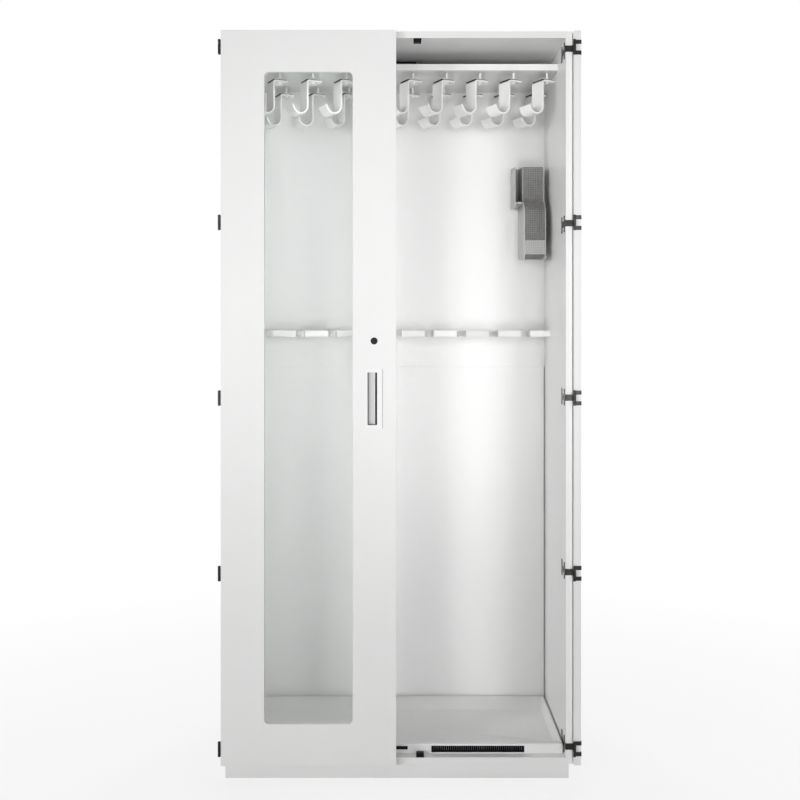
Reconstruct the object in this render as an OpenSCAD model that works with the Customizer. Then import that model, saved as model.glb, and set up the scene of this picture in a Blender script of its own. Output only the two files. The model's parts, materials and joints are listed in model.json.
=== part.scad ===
// Two-door hanging cabinet for drying long flexible instruments.
// Origin: on the floor in the middle of the box. +Z is up and the doors face -Y.
// Depths named "setback" are measured from the front edge of the boards.
// The left door is closed, the right door is folded round against the right side.

/* [Cabinet box] */
// Width over the side boards
body_w = 1000; // [900:1:1200]
// Height from the floor to the top
body_h = 2140; // [2100:1:2300]
// Depth of the box without its doors
body_d = 480; // [470:1:600]
// Thickness of the laminated boards
board_t = 19; // [16:0.5:22]
// Thickness of the back boards
back_t = 8; // [5:0.5:10]
// How far the outer back board sits in from the rear edges
back_inset = 4; // [3:0.5:8]
// Height at which the two inner back boards meet
back_split_z = 1172; // [1100:1:1250]
// How much the lower inner back board stands proud of the upper one
back_step = 3; // [1:0.5:6]
// Gap between the lower inner back board and the side boards
back_side_gap = 3; // [1:0.5:6]
// Radius of the two wall fixing holes
wall_hole_r = 4.5; // [3:0.5:6]
// Distance between the wall fixing holes
wall_hole_pitch = 800; // [600:1:860]

/* [Plinth] */
// Height of the plinth
plinth_h = 52; // [40:1:100]
// How far the plinth sits in from the sides
plinth_side_inset = 6; // [2:1:40]
// How far the plinth sits in from the front
plinth_setback = 32; // [10:1:60]
// How far the plinth sits in from the rear
plinth_rear_inset = 10; // [0:1:60]

/* [Hook shelf] */
// Gap between the hook shelf and the top board
plenum_h = 36; // [33:1:60]
// Setback of the shelf's front edge
shelf_setback = 155; // [100:1:160]

/* [Hooks] */
// Hooks in each row
hook_count = 9; // [3:1:9]
// Distance from the left side board to the corner of the first hook
hook_gap_left = 110; // [70:1:130]
// Distance from the right side board to the corner of the last hook
hook_gap_right = 44; // [42:1:70]
// Setback of the front row
front_hook_setback = 170; // [165:1:185]
// Distance between the two rows
hook_row_gap = 197; // [150:1:215]
// Turn of each hook seen from above
hook_turn = 26; // [0:1:35]
// Width of the hook's strip
hook_w = 59; // [40:1:64]
// Thickness of the strip
hook_t = 5; // [2:0.5:6]
// Height of a hook
hook_h = 105; // [80:1:120]
// Length of the top flange
hook_flange = 45; // [36:1:46]
// Inside radius of the hook's bow
hook_bow_r = 20; // [14:0.5:21]
// Turn of the bow, from the leg round to the tip
hook_bow_turn = 156; // [130:1:180]
// Straight length of the tip
hook_tip = 12; // [4:1:20]
// Drop from the shelf to the hook's flange
hook_drop = 23; // [10:1:40]
// Screw place along the flange
hook_screw_u = 25; // [16:1:30]
// Screw place across the flange
hook_screw_w = 14; // [12:1:30]
// Radius of the spacer above the flange
spacer_r = 3.5; // [3:0.5:6]
// Radius of the hook screw's shank
hook_screw_r = 2; // [1.5:0.1:2.5]
// Radius of the hook screw's domed head
hook_head_r = 5; // [4:0.5:7]
// Height of the domed head
hook_head_h = 4; // [2:0.5:5]

/* [Guide rail] */
// Height of the toothed rail's underside
rail_z = 1270; // [1200:1:1400]
// Setback of the rail's front edge
rail_setback = 319; // [280:1:360]
// Width of a slot between two teeth
slot_w = 28; // [16:1:40]
// Depth of a slot
slot_d = 90; // [40:1:95]

/* [Floor] */
// Setback of the riser under the tray
riser_setback = 32; // [20:1:50]
// Thickness of the riser
riser_t = 12; // [8:0.5:19]
// Height of the riser
riser_h = 26; // [25:1:40]
// Gap between the tray and the side boards
tray_gap = 4; // [3:0.5:12]
// Gap between the tray and the back
tray_back_gap = 8; // [3:0.5:12]
// Thickness of the tray's sheet
tray_t = 3; // [2:0.5:4]
// Width of the tray's rim
tray_rim = 5; // [4:1:16]
// Height of the pads under the tray
tray_pad_h = 4; // [2:0.5:6]
// How far the side slopes run in
tray_slope_side = 14; // [10:1:80]
// How far the back slope runs in
tray_slope_back = 66; // [10:1:120]
// How far the front slope runs in
tray_slope_front = 52; // [20:1:100]
// Drop of the lip over the riser
tray_lip = 6; // [3:0.5:6.5]
// Gap between the lip and the riser
tray_lip_gap = 0.5; // [0.3:0.1:1.5]

/* [Air intake] */
// Width of an air grille
grille_w = 267.5; // [150:0.5:300]
// Height of an air grille
grille_h = 20; // [12:0.5:20.5]
// Distance from the middle to a grille
grille_x = 99; // [60:1:110]
// Drop of the grille below the riser's top
grille_drop = 3; // [1.5:0.5:4]
// Distance between two slots of a grille
grille_pitch = 6; // [4:0.5:10]
// Width of one slot of a grille
grille_slot = 2.5; // [1.5:0.5:3]
// Width of the border of a grille
grille_border = 3; // [2:0.5:4]
// Thickness of the filter pad
filter_t = 6; // [3:0.5:8]
// Half width of the black latch plate in the riser
latch_plate_half = 31; // [15:1:40]
// Height of the black latch plate
latch_plate_h = 10; // [6:0.5:14]

/* [Doors] */
// Thickness of a door
door_t = 20; // [18:0.5:22]
// Gap between the door and the boards
door_gap = 2; // [1.8:0.1:3]
// How far a door stops short of the outer side face
door_reveal = 1.5; // [1:0.1:2]
// Gap between the two doors
door_middle_gap = 4; // [3:0.5:8]
// Gap between the plinth and the doors
door_foot_gap = 3; // [1:0.5:10]
// Gap between the doors and the top edge
door_head_gap = 2; // [0:0.5:6]
// Width of the window
window_w = 250; // [150:1:260]
// Width of the frame above and below the window
window_rail = 119; // [110:1:200]
// Corner radius of the window
window_r = 13; // [6:0.5:30]
// Thickness of the door in front of the pane
window_lip = 6; // [4:0.5:8]
// Width of the ledge that holds the pane
window_ledge = 10; // [6:0.5:14]
// Thickness of the pane
glass_t = 5; // [4:0.5:6]
// Thickness of the seal in front of the pane
seal_t = 1.5; // [1:0.5:3]
// Gap round the pane's edge
glass_clearance = 1; // [0.5:0.5:2]

/* [Recessed pulls] */
// Width of a pull
pull_w = 46.5; // [40:0.5:60]
// Height of a pull
pull_h = 168.5; // [120:0.5:220]
// Distance from the middle of the cabinet to a pull
pull_x = 41; // [30:1:48]
// Height of a pull's lower end
pull_z = 1010; // [900:1:1030]
// Depth of a pull in the door
pull_depth = 15; // [10:0.5:16]
// Thickness of the flange on the door's face
pull_flange_t = 0.8; // [0.5:0.1:1.4]
// Width of the flange round the body
pull_flange_w = 2; // [1:0.5:3]
// Width of the grip that the fingers hook behind
pull_grip_w = 15; // [10:0.5:18]
// Thickness of the grip
pull_grip_t = 3; // [2:0.5:4]
// Thickness of the walls of the pull
pull_wall = 2; // [1.5:0.5:3]
// Height of the flange above and below the recess
pull_border = 10; // [6:0.5:16]

/* [Hinges] */
// Hinges on each door
hinge_count = 5; // [3:1:6]
// Distance from a door's end to its first hinge
hinge_end = 47.5; // [40:0.5:120]
// How far the pin stands outside the side board
pin_out = 3; // [2.8:0.1:3.5]
// Radius of the pin
pin_r = 2; // [1.5:0.1:2.3]
// Radius of a knuckle
knuckle_r = 4; // [3.5:0.1:4.2]
// Height of the middle knuckle
knuckle_h = 18; // [12:0.5:24]
// Height of each outer knuckle
outer_knuckle_h = 11.7; // [8:0.1:14]
// Thickness of the hinge's metal
hinge_t = 1.5; // [1:0.1:1.7]
// Running gap between knuckles
knuckle_gap = 0.3; // [0.2:0.1:0.5]
// Running clearance round the pin
pin_clearance = 0.05; // [0.02:0.01:0.08]
// Length of the wing on the side board
wing_l = 80; // [70:1:110]
// Distance from the front edge to the wing's first screws
wing_screw_setback = 24; // [16:1:26]
// Half height between the wing's screws
wing_screw_z = 15; // [12:0.5:18]
// Radius of the lobes round the wing's screws
lobe_r = 9; // [7:0.5:10]
// Length of the leaf on the door
leaf_l = 62; // [45:1:70]
// Length of the narrow arms of the leaf
leaf_arm_l = 24; // [22.5:0.5:30]
// Radius of a hinge screw's shank
screw_r = 1.75; // [1:0.25:2.25]
// Length of a hinge screw's shank
screw_l = 13; // [8:0.5:14]
// Radius of a hinge screw's head
screw_head_r = 3.75; // [3:0.25:4.5]
// Height of a hinge screw's head
screw_head_h = 1.5; // [1:0.5:2]

/* [Catches] */
// Width of a magnetic catch
catch_w = 22; // [16:1:30]
// Depth of a magnetic catch
catch_d = 18; // [12:1:28]
// Height of a magnetic catch
catch_h = 12; // [8:0.5:14]
// Distance from the middle to an upper catch
upper_catch_x = 47.5; // [35:0.5:80]
// Distance from the middle to a lower catch
lower_catch_x = 55; // [40:0.5:80]
// Thickness of the steel plates on the doors
strike_t = 1.5; // [1:0.1:1.6]

/* [Lock] */
// Distance from the middle of the cabinet to the lock
lock_x = 64.5; // [55:0.5:75]
// Height of the lock above the pull
lock_rise = 79.5; // [40:0.5:110]
// Radius of the lock's housing
lock_r = 9.5; // [8:0.5:11]
// Radius of the lock's front ring
lock_ring_r = 10; // [9.5:0.5:13]
// How far the front ring stands proud
lock_ring_t = 1.2; // [0.8:0.1:1.5]
// Radius of the turning cylinder
plug_r = 6; // [5:0.5:7]
// Running clearance round the cylinder
plug_clearance = 0.05; // [0.02:0.01:0.08]
// Thickness of the lock nut
nut_t = 4; // [3:0.5:5]
// Across-corners radius of the lock nut
nut_r = 13; // [12:0.5:15]
// Thickness of the cam
cam_t = 2.5; // [2:0.1:3]
// Width of the cam
cam_w = 14; // [10:1:18]
// How far the cam reaches past the middle of the cabinet
cam_reach = 18; // [10:1:24]
// Clearance between cam and keeper
cam_clearance = 1.2; // [0.6:0.1:2]
// Thickness of the keeper's hook
keeper_t = 2; // [1.5:0.5:4]
// Width of the keeper
keeper_w = 22; // [18:1:34]

/* [Instrument holder] */
// Width over the holder's side walls
holder_w = 66; // [50:1:80]
// Distance from the right side board to the holder
holder_gap = 21; // [10:1:60]
// Height of the holder's lower front corner
holder_z = 1507; // [1450:1:1560]
// Height of the whole holder at its front
holder_h = 296; // [260:1:330]
// How much higher the ends of the holder are at the back
holder_rake = 14; // [4:1:16]
// Depth of the upper part
holder_upper_d = 137; // [110:1:150]
// Depth of the lower part
holder_lower_d = 190; // [160:1:200]
// Height of the lower part
holder_lower_h = 158; // [120:1:180]
// Height of the slope between the two parts
holder_slope_h = 35; // [20:1:60]
// Thickness of the holder's sheet
holder_t = 2; // [1:0.5:3]
// How far the dark liner sits behind the walls' edges
liner_inset = 4; // [2:0.5:8]
// Height of the holder's floor over its lower front corner
holder_floor_rise = 17; // [16:0.5:24]
// Height of the front lip
holder_lip_h = 44; // [30:1:80]
// Width of the side pocket
pocket_w = 24; // [16:1:30]
// Height of the side pocket
pocket_h = 132; // [90:1:134]
// Height of the pocket's floor over its lower front corner
pocket_floor_rise = 17; // [16:0.5:24]

/* [Fan] */
// Side of the fan's square frame
fan_w = 119; // [92:1:120]
// Height of the fan's frame
fan_h = 25; // [20:0.5:25.5]
// Thinnest wall of the frame
fan_wall = 3; // [2:0.5:4]
// Setback of the fan's middle
fan_setback = 330; // [240:1:360]
// Distance between the fan's screws
fan_screw_pitch = 104.8; // [80:0.1:105]
// Radius of the fan's screws
fan_screw_r = 2.1; // [1.5:0.1:2.5]
// Radius of the rotor's hub
hub_r = 20; // [15:0.5:25]
// Radius of the rotor's spindle
spindle_r = 2.5; // [2:0.5:4]
// Running clearance round the spindle
spindle_clearance = 0.05; // [0.02:0.01:0.08]
// Gap between the blades and the frame
blade_gap = 2; // [1:0.5:4]
// Number of blades
blade_count = 7; // [5:1:9]
// Thickness of the finger guard
guard_t = 3; // [2:0.5:4]
// How far the guard sits below the top face
guard_sink = 2.2; // [2:0.1:4]

/* [Power inlet] */
// Distance from the middle to the inlet
inlet_x = 200; // [80:1:300]
// Width of the inlet's body
inlet_w = 47; // [40:1:50]
// Height of the inlet's body
inlet_h = 27; // [20:1:30]

/* [Hidden] */
$fn = 48;
cut = 1; // how far a cutting shape runs past the face that it cuts

// Box
half_w = body_w / 2;
front_y = -body_d / 2;
back_y = body_d / 2;
inner_x = half_w - board_t;
floor_z = plinth_h + board_t;
top_z = body_h - board_t;
shelf_top = top_z - plenum_h;
shelf_z = shelf_top - board_t;
rear_y = back_y - back_inset - back_t;
liner_y = rear_y - back_t;
plinth_x = half_w - plinth_side_inset;
plinth_y = front_y + plinth_setback;
plinth_back = back_y - plinth_rear_inset;

// Hooks
hook_pitch = (2 * inner_x - hook_gap_left - hook_gap_right) / (hook_count - 1);

// Floor
riser_y = front_y + riser_setback;
riser_top = floor_z + riser_h;
grille_top = riser_top - grille_drop;
tray_x = inner_x - tray_gap;
tray_back = liner_y - back_step - tray_back_gap;
tray_front = riser_y - tray_lip_gap - tray_t;
well_front = riser_y + riser_t + filter_t;
tray_floor = floor_z + tray_pad_h;

// Doors, in the closed place of the right door
door_back = front_y - door_gap;
door_front = door_back - door_t;
door_x0 = door_middle_gap / 2;
door_x1 = half_w - door_reveal;
door_z0 = plinth_h + door_foot_gap;
door_z1 = body_h - door_head_gap;
window_x = (door_x0 + door_x1) / 2;
window_z0 = door_z0 + window_rail;
window_z1 = door_z1 - window_rail;
ledge_y = door_front + window_lip;
glass_y = ledge_y + seal_t;
bead_y = glass_y + glass_t;
right_open = 270; // how far the right door stands open

// Hinges
pin_x = half_w + pin_out;
pin_y = front_y - door_gap - door_t + 1;
hinge_pitch = (door_z1 - door_z0 - 2 * hinge_end) / (hinge_count - 1);
hinge_half = knuckle_h / 2 + knuckle_gap + outer_knuckle_h;
wing_screw_back = wing_l - lobe_r;

// Lock
lock_z = pull_z + pull_h + lock_rise;
nut_y = door_back + nut_t;
cam_gap = 0.8; // the cylinder's end past the nut
cam_y = nut_y + cam_gap;
cam_l = lock_x + cam_reach;
cam_screw_r = 5;
cam_screw_h = 3;

// Holder
holder_x1 = inner_x - holder_gap;
holder_x0 = holder_x1 - holder_w;
holder_top = holder_z + holder_h;
slope_z0 = holder_z + holder_lower_h;
slope_z1 = slope_z0 + holder_slope_h;
pocket_x = holder_x0 - pocket_w;
pocket_z = holder_top - pocket_h;
holder_floor = holder_z + holder_floor_rise;

// Fan
fan_y = front_y + fan_setback;
fan_z = top_z - fan_h;
fan_bore_r = fan_w / 2 - fan_wall;
blade_r = fan_bore_r - blade_gap;
guard_z = body_h - guard_sink - guard_t;
spider_t = 3;
spider_arm = 5;
rotor_gap = 0.5;
rotor_h = fan_h - spider_t - 2 * rotor_gap - 3;
rotor_z = top_z - spider_t - rotor_gap - rotor_h;

// ---------------------------------------------------------------- helpers

module block(low, high) {
    translate(low) cube(high - low);
}

module both_sides() {
    children();
    mirror([1, 0, 0]) children();
}

module on_left() {
    mirror([1, 0, 0]) children();
}

// turns a part of the closed right door to where it stands open
module on_right_open() {
    translate([pin_x, pin_y, 0]) rotate([0, 0, right_open]) translate([-pin_x, -pin_y, 0]) children();
}

module at_hinges() {
    for (i = [0 : hinge_count - 1])
        translate([0, 0, door_z0 + hinge_end + i * hinge_pitch]) children();
}

module bar_y(r, y0, y1) {
    translate([0, y0, 0]) rotate([-90, 0, 0]) cylinder(r = r, h = y1 - y0);
}

module bar_x(r, x0, x1) {
    translate([x0, 0, 0]) rotate([0, 90, 0]) cylinder(r = r, h = x1 - x0);
}

// upright plate with round corners: x and z limits, from y0 to y1
module round_plate(x0, x1, z0, z1, y0, y1, r) {
    difference() {
        block([x0, y0, z0], [x1, y1, z1]);
        for (sx = [0, 1], sz = [0, 1]) {
            cx = sx ? x1 : x0;
            cz = sz ? z1 : z0;
            ux = sx ? -1 : 1;
            uz = sz ? -1 : 1;
            difference() {
                block([min(cx - ux * cut, cx + ux * r), y0 - cut, min(cz - uz * cut, cz + uz * r)],
                      [max(cx - ux * cut, cx + ux * r), y1 + cut, max(cz - uz * cut, cz + uz * r)]);
                translate([cx + ux * r, 0, cz + uz * r]) bar_y(r, y0 - 2 * cut, y1 + 2 * cut);
            }
        }
    }
}

// ---------------------------------------------------------------- box

module side_panel() {
    block([inner_x, front_y, plinth_h], [half_w, back_y, body_h]);
}

module side_panel_left() {
    color("white") on_left() side_panel();
}

module side_panel_right() {
    color("white") side_panel();
}

module at_fan_screws() {
    for (sx = [-1, 1], sy = [-1, 1])
        translate([sx * fan_screw_pitch / 2, fan_y + sy * fan_screw_pitch / 2, 0]) children();
}

module top_panel() {
    color("white") difference() {
        block([-inner_x, front_y, top_z], [inner_x, rear_y, body_h]);
        translate([0, fan_y, top_z - cut]) cylinder(r = fan_bore_r, h = board_t + 2 * cut);
        block([-fan_w / 2 - 1, fan_y - fan_w / 2 - 1, guard_z],
              [fan_w / 2 + 1, fan_y + fan_w / 2 + 1, body_h + cut]);
        at_fan_screws() translate([0, 0, top_z - cut]) cylinder(r = fan_screw_r + 0.2, h = board_t);
    }
}

module bottom_panel() {
    color("white") block([-inner_x, front_y, plinth_h], [inner_x, rear_y, floor_z]);
}

module hook_shelf() {
    color("white") block([-inner_x, front_y + shelf_setback, shelf_z], [inner_x, rear_y, shelf_top]);
}

module upper_back_liner() {
    color("whitesmoke") block([-inner_x, liner_y, back_split_z], [inner_x, rear_y, shelf_z]);
}

module lower_back_liner() {
    color("whitesmoke") block([back_side_gap - inner_x, liner_y - back_step, floor_z],
                              [inner_x - back_side_gap, rear_y, back_split_z]);
}

module at_inlet() {
    translate([inlet_x, rear_y, shelf_top + plenum_h / 2]) children();
}

module rear_panel() {
    color("gainsboro") difference() {
        block([-inner_x, rear_y, plinth_h], [inner_x, rear_y + back_t, body_h]);
        for (sx = [-1, 1])
            translate([sx * wall_hole_pitch / 2, 0, shelf_top + plenum_h / 2])
                bar_y(wall_hole_r, rear_y - cut, rear_y + back_t + cut);
        at_inlet() block([-inlet_w / 2, -cut, -inlet_h / 2], [inlet_w / 2, back_t + cut, inlet_h / 2]);
    }
}

// ---------------------------------------------------------------- plinth

module plinth_front() {
    color("white") block([board_t - plinth_x, plinth_y, 0], [plinth_x - board_t, plinth_y + board_t, plinth_h]);
}

module plinth_rear() {
    color("white")
        block([board_t - plinth_x, plinth_back - board_t, 0], [plinth_x - board_t, plinth_back, plinth_h]);
}

module plinth_sides() {
    color("white") both_sides()
        block([plinth_x - board_t, plinth_y, 0], [plinth_x, plinth_back, plinth_h]);
}

module plinth_middle() {
    color("white")
        block([-board_t / 2, plinth_y + board_t, 0], [board_t / 2, plinth_back - board_t, plinth_h]);
}

// ---------------------------------------------------------------- floor

module grille_space(y0, y1, shrink) {
    block([grille_x + shrink, y0, grille_top - grille_h + shrink],
          [grille_x + grille_w - shrink, y1, grille_top - shrink]);
}

module front_riser() {
    color("white") difference() {
        block([-tray_x, riser_y, floor_z], [tray_x, riser_y + riser_t, riser_top]);
        both_sides() grille_space(riser_y - cut, riser_y + riser_t + cut, 0);
        block([-latch_plate_half, riser_y - cut, grille_top - latch_plate_h - 2],
              [latch_plate_half, riser_y + riser_t / 2, grille_top - 2]);
    }
}

module intake_grilles() {
    slots = floor((grille_w - 2 * grille_border) / grille_pitch);
    first = grille_x + (grille_w - slots * grille_pitch) / 2;
    color("#202020") both_sides() difference() {
        grille_space(riser_y, riser_y + riser_t, 0);
        for (i = [0 : slots - 1])
            translate([first + (i + 0.5) * grille_pitch, 0, 0])
                block([-grille_slot / 2, riser_y - cut, grille_top - grille_h + grille_border],
                      [grille_slot / 2, riser_y + riser_t + cut, grille_top - grille_border]);
    }
}

module intake_filters() {
    color("lightgray") both_sides()
        grille_space(riser_y + riser_t, riser_y + riser_t + filter_t, grille_border / 2);
}

module latch_plate() {
    color("#202020")
        block([-latch_plate_half, riser_y, grille_top - latch_plate_h - 2],
              [latch_plate_half, riser_y + riser_t / 2, grille_top - 2]);
}

// four-sided funnel between a top and a bottom rectangle
module funnel(grow, z0, z1) {
    hull() {
        block([-tray_x + tray_rim - grow, well_front - grow, z1 - 0.01],
              [tray_x - tray_rim + grow, tray_back - tray_rim + grow, z1]);
        block([-tray_x + tray_rim + tray_slope_side - grow, well_front + tray_slope_front - grow, z0],
              [tray_x - tray_rim - tray_slope_side + grow, tray_back - tray_rim - tray_slope_back + grow, z0 + 0.01]);
    }
}

module drip_tray() {
    pad = 24;
    pad_x = tray_x - tray_rim - tray_slope_side - pad;
    pad_y0 = well_front + tray_slope_front;
    pad_y1 = tray_back - tray_rim - tray_slope_back - pad;
    color("white") {
        difference() {
            union() {
                block([-tray_x, tray_front, riser_top], [tray_x, tray_back, riser_top + tray_t]);
                block([-tray_x, tray_front, riser_top + tray_t - tray_lip],
                      [tray_x, riser_y - tray_lip_gap, riser_top + tray_t]);
                funnel(tray_t, tray_floor, riser_top + tray_t);
                for (x = [-pad_x - pad, pad_x], y = [pad_y0, pad_y1])
                    block([x, y, floor_z], [x + pad, y + pad, tray_floor + tray_t]);
            }
            funnel(0, tray_floor + tray_t, riser_top + tray_t + 0.01);
        }
    }
}

// ---------------------------------------------------------------- guide rail

module guide_rail() {
    slot_y = front_y + rail_setback;
    color("white") difference() {
        block([-inner_x, slot_y, rail_z], [inner_x, liner_y, rail_z + board_t]);
        for (i = [0 : hook_count - 1]) {
            x = (i - (hook_count - 1) / 2) * hook_pitch;
            block([x - slot_w / 2, slot_y - cut, rail_z - cut],
                  [x + slot_w / 2, slot_y + slot_d - slot_w / 2, rail_z + board_t + cut]);
            translate([x, slot_y + slot_d - slot_w / 2, rail_z - cut])
                cylinder(r = slot_w / 2, h = board_t + 2 * cut);
        }
    }
}

// ---------------------------------------------------------------- hooks

module at_hooks(rows = [0, 1]) {
    for (row = rows, i = [0 : hook_count - 1])
        translate([-inner_x + hook_gap_left + i * hook_pitch,
                   front_y + front_hook_setback + row * hook_row_gap, shelf_z - hook_drop])
            rotate([0, 0, hook_turn]) children();
}

// side outline of a hook: first value runs along the flange, second is the height from its top
function hook_outline() =
    let (
        steps = 16,
        outer = hook_bow_r + hook_t,
        bow_z = outer - hook_h,
        tip = [-sin(hook_bow_turn), -cos(hook_bow_turn)] * hook_tip
    )
    concat(
        [[hook_flange, 0], [0, 0]],
        [for (i = [0 : steps]) bow_point(hook_bow_r, i * hook_bow_turn / steps, bow_z)],
        [bow_point(hook_bow_r, hook_bow_turn, bow_z) + tip, bow_point(outer, hook_bow_turn, bow_z) + tip],
        [for (i = [steps : -1 : 0]) bow_point(outer, i * hook_bow_turn / steps, bow_z)],
        [[hook_t, -hook_t], [hook_flange, -hook_t]]
    );

function bow_point(r, angle, bow_z) = [r * cos(angle) - hook_bow_r, bow_z - r * sin(angle)];

// one bent strip: x runs along the flange, y across the strip, z = 0 is the flange's top
module hook() {
    translate([0, hook_w, 0]) rotate([90, 0, 0]) linear_extrude(height = hook_w) polygon(hook_outline());
}

module hook_row(row) {
    at_hooks([row]) difference() {
        hook();
        translate([hook_screw_u, hook_screw_w, -hook_t - cut])
            cylinder(r = hook_screw_r + 0.2, h = hook_t + 2 * cut);
    }
}

module front_hooks() {
    color("white") hook_row(0);
}

module rear_hooks() {
    color("white") hook_row(1);
}

module hook_spacers() {
    color("gainsboro") at_hooks() translate([hook_screw_u, hook_screw_w, 0]) difference() {
        cylinder(r = spacer_r, h = hook_drop);
        translate([0, 0, -cut]) cylinder(r = hook_screw_r + 0.2, h = hook_drop + 2 * cut);
    }
}

module hook_screws() {
    ball_r = (hook_head_r * hook_head_r + hook_head_h * hook_head_h) / (2 * hook_head_h);
    color("white") at_hooks() translate([hook_screw_u, hook_screw_w, -hook_t]) {
        cylinder(r = hook_screw_r, h = hook_t + hook_drop + board_t - 4);
        rotate([180, 0, 0]) intersection() {
            translate([0, 0, hook_head_h - ball_r]) sphere(r = ball_r);
            cylinder(r = hook_head_r + cut, h = hook_head_h);
        }
    }
}

// ---------------------------------------------------------------- instrument holder

// side outline of the holder: first value is the distance from the back, second the height
function holder_side(inset, rake) = [
    [0, holder_z + rake], [holder_lower_d - inset, holder_z],
    [holder_lower_d - inset, slope_z0], [holder_upper_d - inset, slope_z1],
    [holder_upper_d - inset, holder_top], [0, holder_top + rake]
];

function pocket_side() = [
    [0, pocket_z + holder_rake], [holder_upper_d, pocket_z],
    [holder_upper_d, holder_top], [0, holder_top + holder_rake]
];

module upright_sheet(x0, x1, outline) {
    translate([x0, liner_y, 0]) rotate([90, 0, 90])
        linear_extrude(height = x1 - x0) polygon([for (p = outline) [-p[0], p[1]]]);
}

module holder_shell() {
    front = liner_y - holder_lower_d;
    slot_top = slope_z0 - 59;
    color("#b8b8b8") difference() {
        union() {
            for (x = [holder_x0, holder_x1 - holder_t])
                upright_sheet(x, x + holder_t, holder_side(0, holder_rake));
            block([holder_x0, liner_y - holder_t, holder_z + holder_rake],
                  [holder_x1, liner_y, holder_top + holder_rake]);
            block([holder_x0, front, holder_floor], [holder_x1, liner_y, holder_floor + holder_t]);
            block([holder_x0, front, holder_floor], [holder_x1, front + holder_t, holder_floor + holder_lip_h]);
        }
        // slot for a strap in the left wall
        block([holder_x0 - cut, front + 14, slot_top - 23], [holder_x0 + holder_t + cut, front + 20, slot_top]);
    }
}

// dark front sheet that follows the walls' outline
module holder_liner() {
    x0 = holder_x0 + holder_t;
    x1 = holder_x1 - holder_t;
    color("#505050") difference() {
        upright_sheet(x0, x1, holder_side(liner_inset, 0));
        translate([0, holder_t, 0]) upright_sheet(x0 - cut, x1 + cut, holder_side(liner_inset, 0));
        block([x0 - cut, liner_y - holder_lower_d - cut, holder_z - cut],
              [x1 + cut, liner_y + holder_t + cut, holder_floor + holder_lip_h]);
    }
}

module holder_pocket() {
    y0 = liner_y - holder_upper_d;
    pocket_floor = pocket_z + pocket_floor_rise;
    color("#a8a8a8") {
        upright_sheet(pocket_x, pocket_x + holder_t, pocket_side());
        block([pocket_x, y0, pocket_floor], [holder_x0, liner_y, pocket_floor + holder_t]);
        block([pocket_x, liner_y - holder_t, pocket_z + holder_rake],
              [holder_x0, liner_y, holder_top + holder_rake]);
    }
}

module holder_screws() {
    y = liner_y - holder_t;
    color("silver") {
        for (z = [slope_z0, holder_top - 30])
            translate([(holder_x0 + holder_x1) / 2, 0, z]) {
                bar_y(4, y - 2, y);
                bar_y(2, y, liner_y + back_t + 4);
            }
    }
}

// ---------------------------------------------------------------- hinges

// fixed wing: lies on the side board, crosses its front edge and ends in the middle knuckle
module hinge_wing() {
    half = knuckle_h / 2;
    arm_x = pin_x - knuckle_r + 0.7;
    difference() {
        union() {
            block([inner_x - hinge_t, front_y - hinge_t, -half], [inner_x, front_y + wing_l - lobe_r, half]);
            block([inner_x - hinge_t, front_y + wing_screw_setback - lobe_r, -wing_screw_z],
                  [inner_x, front_y + wing_screw_setback, wing_screw_z]);
            block([inner_x - hinge_t, front_y + wing_screw_back - lobe_r, -wing_screw_z],
                  [inner_x, front_y + wing_screw_back, wing_screw_z]);
            for (y = [wing_screw_setback, wing_screw_back], z = [-wing_screw_z, wing_screw_z])
                translate([0, front_y + y, z]) bar_x(lobe_r, inner_x - hinge_t, inner_x);
            block([inner_x - hinge_t, front_y - hinge_t, -half], [arm_x + hinge_t, front_y, half]);
            block([arm_x, pin_y, -half], [arm_x + hinge_t, front_y, half]);
            translate([pin_x, pin_y, -half]) cylinder(r = knuckle_r, h = knuckle_h);
        }
        translate([pin_x, pin_y, -half - cut]) cylinder(r = pin_r + 0.01, h = knuckle_h + 2 * cut);
        for (y = [wing_screw_setback, wing_screw_back], z = [-wing_screw_z, wing_screw_z])
            translate([0, front_y + y, z]) bar_x(screw_r + 0.2, inner_x - hinge_t - cut, inner_x + cut);
    }
}

module hinge_wings_left() {
    color("silver") on_left() at_hinges() hinge_wing();
}

module hinge_wings_right() {
    color("silver") at_hinges() hinge_wing();
}

module hinge_pin() {
    cap = 1;
    translate([pin_x, pin_y, -hinge_half - knuckle_gap])
        cylinder(r = pin_r, h = 2 * (hinge_half + knuckle_gap));
    for (z = [-hinge_half - knuckle_gap - cap, hinge_half + knuckle_gap])
        translate([pin_x, pin_y, z]) cylinder(r = knuckle_r - 1, h = cap);
}

module hinge_pins_left() {
    color("silver") on_left() at_hinges() hinge_pin();
}

module hinge_pins_right() {
    color("silver") at_hinges() hinge_pin();
}

module wing_screws() {
    x = inner_x - hinge_t;
    color("silver") both_sides() at_hinges()
        for (y = [wing_screw_setback, wing_screw_back], z = [-wing_screw_z, wing_screw_z])
            translate([0, front_y + y, z]) {
                bar_x(screw_head_r, x - screw_head_h, x);
                bar_x(screw_r, x, x + screw_l);
            }
}

module at_leaf_screws() {
    for (x = [leaf_arm_l + 9, leaf_l - 9], z = [-1, 1])
        translate([door_x1 - x, 0, z * hinge_half / 2]) children();
}

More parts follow.
